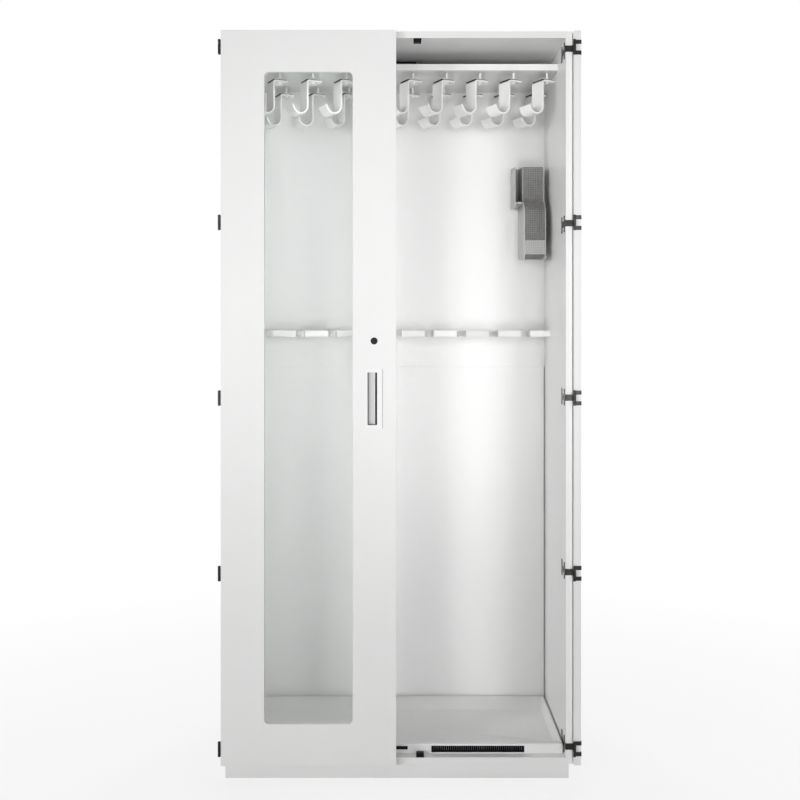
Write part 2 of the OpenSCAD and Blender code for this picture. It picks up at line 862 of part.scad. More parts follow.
// leaf of the door: two arms run round the door's edge to a plate on its inner face
module hinge_leaf() {
    difference() {
        union() {
            for (s = [-1, 1]) {
                z0 = s > 0 ? knuckle_h / 2 + knuckle_gap : -hinge_half;
                z1 = z0 + outer_knuckle_h;
                translate([pin_x, pin_y, z0]) cylinder(r = knuckle_r, h = outer_knuckle_h);
                block([door_x1, pin_y, z0], [door_x1 + hinge_t, door_back + hinge_t, z1]);
                block([door_x1 - leaf_arm_l, door_back, z0], [door_x1 + hinge_t, door_back + hinge_t, z1]);
            }
            block([door_x1 - leaf_l, door_back, -hinge_half],
                  [door_x1 - leaf_arm_l, door_back + hinge_t, hinge_half]);
        }
        translate([pin_x, pin_y, -hinge_half - cut])
            cylinder(r = pin_r + pin_clearance, h = 2 * (hinge_half + cut));
        at_leaf_screws() bar_y(screw_r + 0.2, door_back - cut, door_back + hinge_t + cut);
    }
}

module leaf_screw() {
    y = door_back + hinge_t;
    bar_y(screw_head_r, y, y + screw_head_h);
    bar_y(screw_r, y - screw_l - hinge_t, y);
}

// ---------------------------------------------------------------- doors

module window_plate(grow, y0, y1) {
    round_plate(window_x - window_w / 2 - grow, window_x + window_w / 2 + grow,
                window_z0 - grow, window_z1 + grow, y0, y1, window_r + grow);
}

module door_panel() {
    difference() {
        block([door_x0, door_front, door_z0], [door_x1, door_back, door_z1]);
        window_plate(0, door_front - cut, door_back + cut);
        window_plate(window_ledge, ledge_y, door_back + cut);
        block([pull_x + pull_flange_w, door_front - cut, pull_z + pull_flange_w],
              [pull_x + pull_w - pull_flange_w, door_front + pull_depth, pull_z + pull_h - pull_flange_w]);
    }
}

module glass() {
    window_plate(window_ledge - glass_clearance, glass_y, bead_y);
}

module glass_seal() {
    difference() {
        window_plate(window_ledge - glass_clearance, ledge_y, glass_y);
        window_plate(0.5, ledge_y - cut, glass_y + cut);
    }
}

module glazing_bead() {
    difference() {
        window_plate(window_ledge, bead_y, door_back);
        window_plate(0.5, bead_y - cut, door_back + cut);
    }
}

module pull() {
    x0 = pull_x + pull_flange_w;
    x1 = pull_x + pull_w - pull_flange_w;
    z0 = pull_z + pull_border;
    z1 = pull_z + pull_h - pull_border;
    floor_y = door_front + pull_depth - pull_wall;
    difference() {
        union() {
            block([pull_x, door_front - pull_flange_t, pull_z],
                  [pull_x + pull_w, door_front, pull_z + pull_h]);
            block([x0, door_front, pull_z + pull_flange_w],
                  [x1, door_front + pull_depth, pull_z + pull_h - pull_flange_w]);
        }
        block([pull_x + pull_grip_w, door_front - pull_flange_t - cut, z0], [x1 - pull_wall, floor_y, z1]);
        block([x0 + pull_wall, door_front - pull_flange_t + pull_grip_t, z0], [x1 - pull_wall, floor_y, z1]);
    }
}

module strikes() {
    margin = 2;
    for (p = [[upper_catch_x, top_z - catch_h], [lower_catch_x, floor_z]])
        block([p[0] - margin, door_back, p[1] - margin],
              [p[0] + catch_w + margin, door_back + strike_t, p[1] + catch_h + margin]);
}

module magnetic_catches() {
    groove = 4;
    color("#202020") both_sides() for (p = [[upper_catch_x, top_z - catch_h], [lower_catch_x, floor_z]])
        difference() {
            block([p[0], front_y, p[1]], [p[0] + catch_w, front_y + catch_d, p[1] + catch_h]);
            block([p[0] + 3, front_y - cut, p[1] + (catch_h - groove) / 2],
                  [p[0] + catch_w - 3, front_y + 2, p[1] + (catch_h + groove) / 2]);
        }
}

module left_door_panel() {
    color("white") on_left() difference() {
        door_panel();
        translate([lock_x, 0, lock_z]) bar_y(lock_r, door_front - cut, door_back + cut);
    }
}

module left_glass() {
    color([0.8, 0.9, 0.9, 0.4]) on_left() glass();
}

module left_glass_seal() {
    color("gainsboro") on_left() glass_seal();
}

module left_glazing_bead() {
    color("white") on_left() glazing_bead();
}

module left_pull() {
    color("silver") on_left() pull();
}

module left_hinge_leaves() {
    color("silver") on_left() at_hinges() hinge_leaf();
}

module left_leaf_screws() {
    color("silver") on_left() at_hinges() at_leaf_screws() leaf_screw();
}

module left_strikes() {
    color("silver") on_left() strikes();
}

module right_door_panel() {
    color("white") on_right_open() door_panel();
}

module right_glass() {
    color([0.8, 0.9, 0.9, 0.4]) on_right_open() glass();
}

module right_glass_seal() {
    color("gainsboro") on_right_open() glass_seal();
}

module right_glazing_bead() {
    color("white") on_right_open() glazing_bead();
}

module right_pull() {
    color("silver") on_right_open() pull();
}

module right_hinge_leaves() {
    color("silver") on_right_open() at_hinges() hinge_leaf();
}

module right_leaf_screws() {
    color("silver") on_right_open() at_hinges() at_leaf_screws() leaf_screw();
}

module right_strikes() {
    color("silver") on_right_open() strikes();
}

// ---------------------------------------------------------------- lock

module lock_housing() {
    color("#303030") on_left() translate([lock_x, 0, lock_z]) difference() {
        union() {
            bar_y(lock_ring_r, door_front - lock_ring_t, door_front);
            bar_y(lock_r, door_front - lock_ring_t, nut_y);
            translate([0, door_back, 0]) rotate([-90, 0, 0]) cylinder(r = nut_r, h = nut_t, $fn = 6);
        }
        bar_y(plug_r + plug_clearance, door_front - lock_ring_t - cut, nut_y + cut);
    }
}

module lock_plug() {
    face = door_front - lock_ring_t + 0.2;
    key_w = 2;
    key_h = 7;
    color("#202020") on_left() translate([lock_x, 0, lock_z]) difference() {
        bar_y(plug_r, face, cam_y);
        block([-key_w / 2, face - cut, -key_h / 2], [key_w / 2, face + 12, key_h / 2]);
    }
}

// cam, hanging straight down when unlocked, with its screw
module lock_cam() {
    color("silver") on_left() translate([lock_x, 0, lock_z]) {
        bar_y(cam_w / 2, cam_y, cam_y + cam_t);
        block([-cam_w / 2, cam_y, cam_w / 2 - cam_l], [cam_w / 2, cam_y + cam_t, 0]);
        translate([0, 0, cam_w / 2 - cam_l]) bar_y(cam_w / 2, cam_y, cam_y + cam_t);
        bar_y(cam_screw_r, cam_y + cam_t, cam_y + cam_t + cam_screw_h);
    }
}

// hook on the right door that the cam turns into from below
module lock_keeper() {
    x0 = door_x0 + 2;
    base_y = cam_y - cam_clearance;
    hook_y = cam_y + cam_t + cam_clearance;
    web_z = lock_z + cam_w / 2 + cam_clearance + 1;
    color("silver") on_right_open() {
        block([x0, door_back, lock_z - cam_w], [x0 + keeper_w, base_y, web_z + keeper_w]);
        block([x0, base_y, web_z], [x0 + keeper_w, hook_y + keeper_t, web_z + keeper_w / 2]);
        block([x0, hook_y, lock_z - cam_w / 2], [x0 + keeper_w, hook_y + keeper_t, web_z]);
    }
}

// ---------------------------------------------------------------- fan and inlet

module fan_frame() {
    color("#303030") difference() {
        union() {
            difference() {
                block([-fan_w / 2, fan_y - fan_w / 2, fan_z], [fan_w / 2, fan_y + fan_w / 2, top_z]);
                translate([0, fan_y, fan_z - cut]) cylinder(r = fan_bore_r, h = fan_h + 2 * cut, $fn = 96);
            }
            translate([0, fan_y, top_z - spider_t]) {
                cylinder(r = hub_r, h = spider_t);
                for (a = [0 : 90 : 270]) rotate([0, 0, a])
                    translate([0, -spider_arm / 2, 0]) cube([fan_bore_r + 1, spider_arm, spider_t]);
            }
            translate([0, fan_y, rotor_z + 2]) cylinder(r = spindle_r, h = rotor_h);
        }
        at_fan_screws() translate([0, 0, fan_z - cut]) cylinder(r = fan_screw_r + 0.2, h = fan_h + 2 * cut);
    }
}

module fan_rotor() {
    pitch_angle = 35;
    blade_t = 2;
    color("#404040") translate([0, fan_y, rotor_z]) difference() {
        union() {
            cylinder(r = hub_r - 1, h = rotor_h);
            intersection() {
                cylinder(r = blade_r, h = rotor_h);
                for (i = [0 : blade_count - 1]) rotate([0, 0, i * 360 / blade_count])
                    translate([hub_r - 4, 0, rotor_h / 2]) rotate([pitch_angle, 0, 0])
                        translate([0, -rotor_h, -blade_t / 2]) cube([blade_r, 2 * rotor_h, blade_t]);
            }
        }
        translate([0, 0, 2 - rotor_gap]) cylinder(r = spindle_r + spindle_clearance, h = rotor_h);
    }
}

module fan_guard() {
    z0 = guard_z;
    wire = 2.5;
    ring_gap = 13;
    lug_r = 6;
    color("silver") difference() {
        union() {
            for (r = [ring_gap : ring_gap : fan_bore_r]) translate([0, fan_y, z0]) difference() {
                cylinder(r = r, h = guard_t, $fn = 96);
                translate([0, 0, -cut]) cylinder(r = r - wire, h = guard_t + 2 * cut, $fn = 96);
            }
            for (a = [45 : 90 : 315]) translate([0, fan_y, z0]) rotate([0, 0, a])
                translate([ring_gap - wire / 2, -wire / 2, 0])
                    cube([fan_screw_pitch / sqrt(2) - ring_gap + wire / 2 - 0.7 * lug_r, wire, guard_t]);
            at_fan_screws() translate([0, 0, z0]) cylinder(r = lug_r, h = guard_t);
        }
        at_fan_screws() translate([0, 0, z0 - cut]) cylinder(r = fan_screw_r + 0.2, h = guard_t + 2 * cut);
    }
}

module fan_screws() {
    head_h = 2;
    nut_h = 3;
    color("silver") at_fan_screws() {
        translate([0, 0, fan_z - nut_h]) cylinder(r = fan_screw_r, h = guard_z + guard_t + nut_h - fan_z);
        translate([0, 0, guard_z + guard_t]) cylinder(r = 2 * fan_screw_r, h = head_h);
        translate([0, 0, fan_z - nut_h]) cylinder(r = 2 * fan_screw_r, h = nut_h, $fn = 6);
    }
}

module power_inlet() {
    flange = 2.5;
    depth = 20;
    cavity_w = 25;
    cavity_h = 17;
    color("#202020") at_inlet() {
        difference() {
            union() {
                block([-inlet_w / 2, back_t - depth, -inlet_h / 2], [inlet_w / 2, back_t, inlet_h / 2]);
                block([-inlet_w / 2 - flange, back_t, -inlet_h / 2 - flange],
                      [inlet_w / 2 + flange, back_t + 2, inlet_h / 2 + flange]);
            }
            block([-cavity_w / 2, back_t + 2 - 16, -cavity_h / 2], [cavity_w / 2, back_t + 2 + cut, cavity_h / 2]);
        }
        for (p = [[-7, -2], [7, -2], [0, 3]])
            translate([p[0], 0, p[1]]) block([-1, back_t - 14.5, -2], [1, back_t + 1, 2]);
    }
}

side_panel_left();
side_panel_right();
top_panel();
bottom_panel();
hook_shelf();
upper_back_liner();
lower_back_liner();
rear_panel();
plinth_front();
plinth_rear();
plinth_sides();
plinth_middle();
front_riser();
intake_grilles();
intake_filters();
latch_plate();
guide_rail();
front_hooks();
rear_hooks();
hook_spacers();
hook_screws();
holder_shell();
holder_liner();
holder_pocket();
holder_screws();
hinge_wings_left();
hinge_wings_right();
hinge_pins_left();
hinge_pins_right();
wing_screws();
magnetic_catches();
fan_frame();
fan_guard();
fan_screws();
power_inlet();
fan_rotor();
drip_tray();
left_door_panel();
left_glass();
left_glass_seal();
left_glazing_bead();
left_pull();
left_hinge_leaves();
left_leaf_screws();
left_strikes();
lock_housing();
lock_plug();
lock_cam();
right_door_panel();
right_glass();
right_glass_seal();
right_glazing_bead();
right_pull();
right_hinge_leaves();
right_leaf_screws();
right_strikes();
lock_keeper();
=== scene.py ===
"""Looks of the two-door hanging cabinet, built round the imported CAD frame. All lengths are in metres."""

import json
import math
from itertools import product

import bmesh
import bpy
from bpy.props import FloatProperty, FloatVectorProperty, IntProperty, PointerProperty
from mathutils import Matrix, Vector


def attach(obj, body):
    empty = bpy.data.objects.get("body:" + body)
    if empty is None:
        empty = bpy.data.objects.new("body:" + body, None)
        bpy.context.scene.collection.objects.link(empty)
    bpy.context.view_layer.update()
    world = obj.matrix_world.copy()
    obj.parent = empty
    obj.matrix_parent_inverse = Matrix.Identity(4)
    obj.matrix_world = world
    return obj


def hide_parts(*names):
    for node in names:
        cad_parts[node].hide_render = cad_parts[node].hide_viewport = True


bl_info = {
    "name": "Hanging Cabinet",
    "version": (1, 0, 0),
    "blender": (4, 5, 0),
    "location": "3D View > Sidebar > Cabinet",
    "description": "Finishes and detailed pieces of a two-door hanging cabinet",
    "category": "Object",
}

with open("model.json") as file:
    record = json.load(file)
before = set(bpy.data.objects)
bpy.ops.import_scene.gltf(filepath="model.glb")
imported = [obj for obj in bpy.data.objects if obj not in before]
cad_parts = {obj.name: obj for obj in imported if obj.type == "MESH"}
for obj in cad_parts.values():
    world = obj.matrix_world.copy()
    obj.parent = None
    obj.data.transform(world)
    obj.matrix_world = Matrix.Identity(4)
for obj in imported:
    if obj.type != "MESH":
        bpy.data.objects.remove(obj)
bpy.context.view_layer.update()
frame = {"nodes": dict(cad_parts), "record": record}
MM = 0.001


# ---------------------------------------------------------------- sizes and colours

def length(name, text, value, low, high):
    return FloatProperty(name=name, description=text, default=value, min=low, max=high,
                         unit="LENGTH", subtype="DISTANCE", precision=4)


def colour(name, text, value):
    return FloatVectorProperty(name=name, description=text, default=value, size=3, min=0, max=1,
                               subtype="COLOR")


def power(name, text, value):
    return FloatProperty(name=name, description=text, default=value, min=0, max=2000, unit="POWER")


class CabinetStageSettings(bpy.types.PropertyGroup):
    camera_x: length("Camera side shift", "How far the camera stands right of the middle", 0.0088, -2, 2)
    camera_y: length("Camera distance", "How far in front of the middle the camera stands", 3.388, 1, 20)
    camera_z: length("Camera height", "Height of the camera over the floor", 1.272, 0.1, 5)
    lens: FloatProperty(name="Lens", description="Focal length in millimetres", default=49.72, min=10,
                        max=200)
    shift: FloatProperty(name="Frame shift", description="Frame's vertical shift, as a share of its width",
                         default=-0.08, min=-1, max=1)
    left_power: power("Left lamp", "Power of the soft box on the left", 7.6)
    right_power: power("Right lamp", "Power of the soft box on the right", 5.6)
    front_power: power("Front lamp", "Power of the soft box in front, near the middle", 2.6)
    side_power: power("Side lamp", "Power of the soft box far round on the left", 18)
    rear_power: power("Rear lamps", "Power of each of the two soft boxes behind", 60)
    top_power: power("Top lamp", "Power of the soft box overhead", 3)
    far_power: power("Far side lamp", "Power of the soft box far round on the right", 8)
    low_power: power("Low lamp", "Power of the soft box that lights the hooks from below", 2.6)
    sky: FloatProperty(name="Room light", description="Strength of the even light from all round",
                       default=0.19, min=0, max=2)


class CabinetFinishSettings(bpy.types.PropertyGroup):
    board: colour("Boards", "White of the laminated boards", (0.83, 0.83, 0.825))
    back: colour("Back", "White of the inner back boards", (0.84, 0.84, 0.835))
    tray: colour("Tray", "White of the drip tray", (0.85, 0.85, 0.845))
    hook: colour("Hooks", "White of the hooks", (0.92, 0.92, 0.91))
    holder: colour("Holder", "Grey of the instrument holder", (0.5, 0.5, 0.49))
    holder_mesh: colour("Holder mesh", "Grey of the perforated sheet", (0.2, 0.197, 0.187))
    black: colour("Black plastic", "Black of the grilles and catches", (0.007, 0.007, 0.0075))


class CabinetDetailSettings(bpy.types.PropertyGroup):
    round_edge: length("Edge rounding", "Rounding of the boards' edges", 0.0008, 0.0001, 0.004)
    hook_bend: length("Hook bend", "Middle radius of the bend under the flange", 0.0055, 0.003, 0.02)
    hole: length("Perforation", "Width of a hole in the holder's sheet", 0.0032, 0.001, 0.01)
    hole_pitch: length("Perforation pitch", "Distance between two holes", 0.0056, 0.002, 0.02)
    tray_steps: IntProperty(name="Tray steps", description="Steps down the tray's slope", default=10, min=3,
                            max=40)


def stage_settings():
    return bpy.context.scene.cabinet_stage


def finish_settings():
    return bpy.context.scene.cabinet_finish


def detail_settings():
    return bpy.context.scene.cabinet_detail


# ---------------------------------------------------------------- node helpers

NOISE_ROUGHNESS = 0.55
PATCH_RANGE, DULL_RANGE, MARK_RANGE = (0.35, 0.65), (0.35, 0.7), (0.3, 0.7)


def node(tree, kind, **values):
    made = tree.nodes.new(kind)
    for key, value in values.items():
        setattr(made, key, value)
    return made


def join(tree, source, out, target, into):
    tree.links.new(source.outputs[out], target.inputs[into])


def maths(tree, operation, a, b):
    made = node(tree, "ShaderNodeMath", operation=operation)
    for place, value in enumerate((a, b)):
        if isinstance(value, (int, float)):
            made.inputs[place].default_value = value
        else:
            tree.links.new(value, made.inputs[place])
    return made.outputs[0]


def spread(tree, value, low, high, from_low=0.0, from_high=1.0):
    made = node(tree, "ShaderNodeMapRange")
    made.inputs["From Min"].default_value = from_low
    made.inputs["From Max"].default_value = from_high
    made.inputs["To Min"].default_value = low
    made.inputs["To Max"].default_value = high
    tree.links.new(value, made.inputs["Value"])
    return made.outputs["Result"]


def blend_colours(tree, share, first, second):
    made = node(tree, "ShaderNodeMix", data_type="RGBA")
    for label, value in (("Factor", share), ("A", first), ("B", second)):
        socket = made.inputs[label]
        if isinstance(value, bpy.types.NodeSocket):
            tree.links.new(value, socket)
        elif isinstance(value, (int, float)):
            socket.default_value = value
        else:
            socket.default_value = (*value, 1)
    return made.outputs["Result"]


def group_tree(name, inputs, outputs):
    tree = bpy.data.node_groups.new(name, "ShaderNodeTree")
    for label, value in inputs:
        socket = tree.interface.new_socket(name=label, in_out="INPUT", socket_type="NodeSocketFloat")
        socket.default_value = value
    for label, kind in outputs:
        tree.interface.new_socket(name=label, in_out="OUTPUT", socket_type=kind)
    return tree, tree.nodes.new("NodeGroupInput"), tree.nodes.new("NodeGroupOutput")


def object_place(tree, stretch=None):
    place = node(tree, "ShaderNodeTexCoord")
    if stretch is None:
        return place.outputs["Object"]
    scaled = node(tree, "ShaderNodeVectorMath", operation="MULTIPLY")
    scaled.inputs[1].default_value = stretch
    tree.links.new(place.outputs["Object"], scaled.inputs[0])
    return scaled.outputs[0]


def noise(tree, vector, scale, detail):
    made = node(tree, "ShaderNodeTexNoise")
    made.inputs["Detail"].default_value = detail
    made.inputs["Roughness"].default_value = NOISE_ROUGHNESS
    tree.links.new(vector, made.inputs["Vector"])
    if isinstance(scale, (int, float)):
        made.inputs["Scale"].default_value = scale
    else:
        tree.links.new(scale, made.inputs["Scale"])
    return made.outputs["Fac"]


# ---------------------------------------------------------------- shared effects

def grain_effect():
    """Fine height and soft patches, both from 0 to 1."""
    tree, start, end = group_tree("Surface Grain", [("Grains per metre", 600), ("Patches per metre", 3)],
                                  [("Fine", "NodeSocketFloat"), ("Patches", "NodeSocketFloat")])
    place = object_place(tree)
    tree.links.new(noise(tree, place, start.outputs["Grains per metre"], 2.0), end.inputs["Fine"])
    tree.links.new(noise(tree, place, start.outputs["Patches per metre"], 4.0), end.inputs["Patches"])
    return tree


def edge_effect():
    """Rounded normal along sharp edges and a mask of those edges, broken up by noise."""
    tree, start, end = group_tree("Worn Edges", [("Width", 0.0008)],
                                  [("Edge", "NodeSocketFloat"), ("Rounded", "NodeSocketVector")])
    bevel = node(tree, "ShaderNodeBevel", samples=6)
    join(tree, start, "Width", bevel, "Radius")
    plain = node(tree, "ShaderNodeNewGeometry")
    dot = node(tree, "ShaderNodeVectorMath", operation="DOT_PRODUCT")
    join(tree, bevel, "Normal", dot, 0)
    join(tree, plain, "True Normal", dot, 1)
    bent = maths(tree, "SUBTRACT", 1.0, dot.outputs["Value"])
    broken = spread(tree, noise(tree, object_place(tree), 60, 4.0), 0.2, 1.0, 0.35, 0.65)
    tree.links.new(maths(tree, "MULTIPLY", spread(tree, bent, 0, 1, 0.0, 0.25), broken), end.inputs["Edge"])
    join(tree, bevel, "Normal", end, "Rounded")
    return tree


def dust_effect():
    """Mask of dust that settled on faces that look up."""
    tree, start, end = group_tree("Settled Dust", [("Amount", 0.3)], [("Dust", "NodeSocketFloat")])
    face = node(tree, "ShaderNodeNewGeometry")
    axis = node(tree, "ShaderNodeSeparateXYZ")
    join(tree, face, "Normal", axis, "Vector")
    up = spread(tree, axis.outputs["Z"], 0, 1, 0.6, 1.0)
    patchy = spread(tree, noise(tree, object_place(tree), 14, 6.0), 0.1, 1.0, 0.3, 0.75)
    tree.links.new(maths(tree, "MULTIPLY", maths(tree, "MULTIPLY", up, patchy), start.outputs["Amount"]),
                   end.inputs["Dust"])
    return tree


def drawn_effect():
    """Fine upright lines of drawn or brushed metal, from 0 to 1."""
    tree, start, end = group_tree("Drawn Lines", [("Lines per metre", 2200)], [("Line", "NodeSocketFloat")])
    tree.links.new(noise(tree, object_place(tree, (1, 1, 0.02)), start.outputs["Lines per metre"], 2.0),
                   end.inputs["Line"])
    return tree


def wipe_effect():
    """Faint marks of wiping and handling, from 0 to 1."""
    tree, start, end = group_tree("Wipe Marks", [("Marks per metre", 9)], [("Mark", "NodeSocketFloat")])
    warped = node(tree, "ShaderNodeTexNoise")
    warped.inputs["Scale"].default_value = 2.5
    warped.inputs["Detail"].default_value = 2.0
    place = object_place(tree, (1, 1, 0.35))
    tree.links.new(place, warped.inputs["Vector"])
    moved = node(tree, "ShaderNodeVectorMath", operation="ADD")
    tree.links.new(place, moved.inputs[0])
    join(tree, warped, "Color", moved, 1)
    tree.links.new(noise(tree, moved.outputs[0], start.outputs["Marks per metre"], 5.0), end.inputs["Mark"])
    return tree


EFFECTS = {}
DUST_COLOUR = (0.52, 0.5, 0.47)
COAT_ROUGHNESS = 0.12
WORN_METAL, METAL_BUMP, METAL_HEIGHT, METAL_EDGE = 0.6, 0.03, 0.0001, 0.0004
METAL_GRAINS, METAL_PATCHES = 900, 45
GLASS_IOR, GLASS_TINT, GLASS_MARK = 1.33, (0.965, 0.975, 0.97), (0.95, 0.965, 0.955)
GLASS_SHADOW = (0.88, 0.89, 0.885, 1)


def effect(tree, name, **values):
    made = node(tree, "ShaderNodeGroup", node_tree=EFFECTS[name])
    for key, value in values.items():
        made.inputs[key.replace("_", " ").capitalize()].default_value = value
    return made


def new_finish(name):
    made = bpy.data.materials.new(name)
    made.use_nodes = True
    tree = made.node_tree
    return made, tree, tree.nodes["Principled BSDF"]


def shape_surface(tree, shader, height, edges, strength, distance):
    """Bump from a height output, on top of the rounded edges."""
    raised = node(tree, "ShaderNodeBump")
    raised.inputs["Strength"].default_value = strength
    raised.inputs["Distance"].default_value = distance
    tree.links.new(height, raised.inputs["Height"])
    join(tree, edges, "Rounded", raised, "Normal")
    join(tree, raised, "Normal", shader, "Normal")


def coated(name, base, shade, rough, grain=600, bump=0.02, height=0.0002, width=0.0008, edge=0.25,
           edge_colour=(0.62, 0.61, 0.58), dust=0.0, coat=0.0, patches=3.0, gloss=0.5):
    """A painted, laminated or moulded surface: patches of tone, worn edges, grain, wipe marks and dust."""
    made, tree, shader = new_finish(name)
    grains = effect(tree, "grain", Grains_per_metre=grain, Patches_per_metre=patches)
    edges = effect(tree, "edge", Width=width)
    wiped = effect(tree, "wipe")
    darker = tuple(c * (1 - shade) for c in base)
    lighter = tuple(min(1.0, c * (1 + shade * 0.5)) for c in base)
    tone = blend_colours(tree, spread(tree, grains.outputs["Patches"], 0, 1, *PATCH_RANGE), darker, lighter)
    worn = blend_colours(tree, maths(tree, "MULTIPLY", edges.outputs["Edge"], edge), tone, edge_colour)
    if dust:
        settled = effect(tree, "dust", Amount=dust)
        worn = blend_colours(tree, settled.outputs["Dust"], worn, DUST_COLOUR)
    tree.links.new(worn, shader.inputs["Base Color"])
    tree.links.new(spread(tree, wiped.outputs["Mark"], *rough, *MARK_RANGE), shader.inputs["Roughness"])
    shape_surface(tree, shader, grains.outputs["Fine"], edges, bump, height)
    shader.inputs["Specular IOR Level"].default_value = gloss
    shader.inputs["Coat Weight"].default_value = coat
    shader.inputs["Coat Roughness"].default_value = COAT_ROUGHNESS
    return made


def metal(name, base, rough, lines=2200, shade=0.25):
    """Bare or plated metal: drawn lines in tone and gloss, bright worn edges, dull patches."""
    made, tree, shader = new_finish(name)
    drawn = effect(tree, "drawn", Lines_per_metre=lines)
    edges = effect(tree, "edge", Width=METAL_EDGE)
    grains = effect(tree, "grain", Grains_per_metre=METAL_GRAINS, Patches_per_metre=METAL_PATCHES)
    dull = tuple(c * (1 - shade) for c in base)
    bright = tuple(min(1.0, c * 1.15 + 0.05) for c in base)
    tone = blend_colours(tree, spread(tree, grains.outputs["Patches"], 0, 0.8, *DULL_RANGE), base, dull)
    tone = blend_colours(tree, maths(tree, "MULTIPLY", edges.outputs["Edge"], WORN_METAL), tone, bright)
    tree.links.new(tone, shader.inputs["Base Color"])
    tree.links.new(spread(tree, drawn.outputs["Line"], *rough, *MARK_RANGE), shader.inputs["Roughness"])
    shader.inputs["Metallic"].default_value = 1.0
    shape_surface(tree, shader, drawn.outputs["Line"], edges, METAL_BUMP, METAL_HEIGHT)
    return made


def pane(name):
    """Clear float glass that lets the lamps' light through to what is behind it."""
    made, tree, shader = new_finish(name)
    wiped = effect(tree, "wipe", Marks_per_metre=6)
    shader.inputs["Transmission Weight"].default_value = 1.0
    shader.inputs["IOR"].default_value = GLASS_IOR
    tree.links.new(spread(tree, wiped.outputs["Mark"], 0.0, 0.03, 0.45, 0.75), shader.inputs["Roughness"])
    tree.links.new(blend_colours(tree, wiped.outputs["Mark"], GLASS_TINT, GLASS_MARK),
                   shader.inputs["Base Color"])
    clear = node(tree, "ShaderNodeBsdfTransparent")
    clear.inputs["Color"].default_value = GLASS_SHADOW
    path = node(tree, "ShaderNodeLightPath")
    mixed = node(tree, "ShaderNodeMixShader")
    join(tree, path, "Is Shadow Ray", mixed, 0)
    tree.links.new(shader.outputs[0], mixed.inputs[1])
    tree.links.new(clear.outputs[0], mixed.inputs[2])
    tree.links.new(mixed.outputs[0], tree.nodes["Material Output"].inputs["Surface"])
    return made


FINISHES = {}


def make_finishes():
    colours = finish_settings()
    EFFECTS.update(grain=grain_effect(), edge=edge_effect(), dust=dust_effect(), drawn=drawn_effect(),
                   wipe=wipe_effect())
    FINISHES.update(
        white_laminate=coated("White laminate", colours.board, 0.015, (0.34, 0.37), dust=0.04),
        back_liner=coated("Back laminate", colours.back, 0.008, (0.276, 0.284), grain=900, bump=0.012),
        back_board=coated("Painted hardboard", (0.7, 0.7, 0.69), 0.025, (0.5, 0.62), grain=1400, bump=0.25),
        black_plastic=coated("Black plastic", colours.black, 0.3, (0.38, 0.5), grain=2200, bump=0.12,
                             edge=0.2, edge_colour=(0.07, 0.07, 0.07), dust=0.008, gloss=0.08),
        filter_pad=coated("Filter fleece", (0.8, 0.8, 0.78), 0.25, (0.85, 0.98), grain=700, bump=0.8,
                          height=0.001, patches=40),
        hook_white=coated("Hook enamel", colours.hook, 0.02, (0.18, 0.28), grain=320, bump=0.05,
                          width=0.0006, coat=0.3, edge=0.12),
        holder_grey=coated("Holder enamel", colours.holder, 0.08, (0.32, 0.45), grain=800, bump=0.06,
                           width=0.0005, edge=0.5, edge_colour=(0.75, 0.75, 0.74)),
        holder_dark=coated("Perforated sheet", colours.holder_mesh, 0.2, (0.4, 0.6), grain=700, bump=0.2,
                           width=0.0004, edge=0.3, edge_colour=(0.5, 0.5, 0.5), patches=60),
        tray_white=coated("Tray plastic", colours.tray, 0.015, (0.3, 0.33), grain=450, bump=0.06, dust=0.03,
                          width=0.0015, patches=5),
        seal_grey=coated("Glazing seal", (0.5, 0.5, 0.49), 0.1, (0.55, 0.7), grain=1500, bump=0.1),
        hinge_nickel=metal("Black nickel", (0.036, 0.035, 0.034), (0.22, 0.34), shade=0.5),
        screw_steel=metal("Zinc screws", (0.55, 0.56, 0.57), (0.22, 0.38), lines=3500),
        pull_silver=coated("Satin pull", (0.86, 0.86, 0.86), 0.03, (0.24, 0.34), grain=1500, bump=0.04,
                           width=0.0005, edge=0.2, edge_colour=(0.5, 0.5, 0.5)),
        lock_black=coated("Lock black", (0.012, 0.012, 0.013), 0.2, (0.3, 0.4), grain=1600, bump=0.05,
                          width=0.0004, edge=0.5, edge_colour=(0.25, 0.25, 0.25), gloss=0.15),
        door_glass=pane("Float glass"))


def dress_nodes():
    """Gives every CAD node the finish of its slot in the record."""
    for part in frame["record"]["subparts"]:
        shape = frame["nodes"][part["node"]]
        shape.data.materials.clear()
        shape.data.materials.append(FINISHES[part["material_slot"]])


# ---------------------------------------------------------------- mesh helpers

BEVEL_STEPS, BEVEL_ANGLE = 3, 40


def mesh_data(name, bm):
    """Mesh data with the bmesh's shape; the bmesh is used up."""
    data = bpy.data.meshes.new(name)
    bm.to_mesh(data)
    bm.free()
    return data


def add_object(name, data):
    made = bpy.data.objects.new(name, data)
    bpy.context.scene.collection.objects.link(made)
    return made


def place_mesh(name, bm, slot, body, replaces=(), smooth=35, bevel=0.0):
    """Turns a bmesh into a piece that rides on a body, with a finish and smooth shading between edges."""
    bmesh.ops.recalc_face_normals(bm, faces=bm.faces)
    data = mesh_data(name, bm)
    data.shade_smooth()
    data.set_sharp_from_angle(angle=math.radians(smooth))
    data.materials.append(FINISHES[slot])
    piece = add_object(name, data)
    if bevel:
        rounding = piece.modifiers.new("Rounding", "BEVEL")
        rounding.width, rounding.segments, rounding.limit_method = bevel, BEVEL_STEPS, "ANGLE"
        rounding.angle_limit = math.radians(BEVEL_ANGLE)
    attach(piece, body)
    if replaces:
        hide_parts(*replaces)
    return piece


def arc(cx, cy, radius, start, stop, steps):
    """Points of an arc; angles in degrees."""
    turn = (stop - start) / steps
    return [(cx + radius * math.cos(math.radians(start + i * turn)),
             cy + radius * math.sin(math.radians(start + i * turn))) for i in range(steps + 1)]


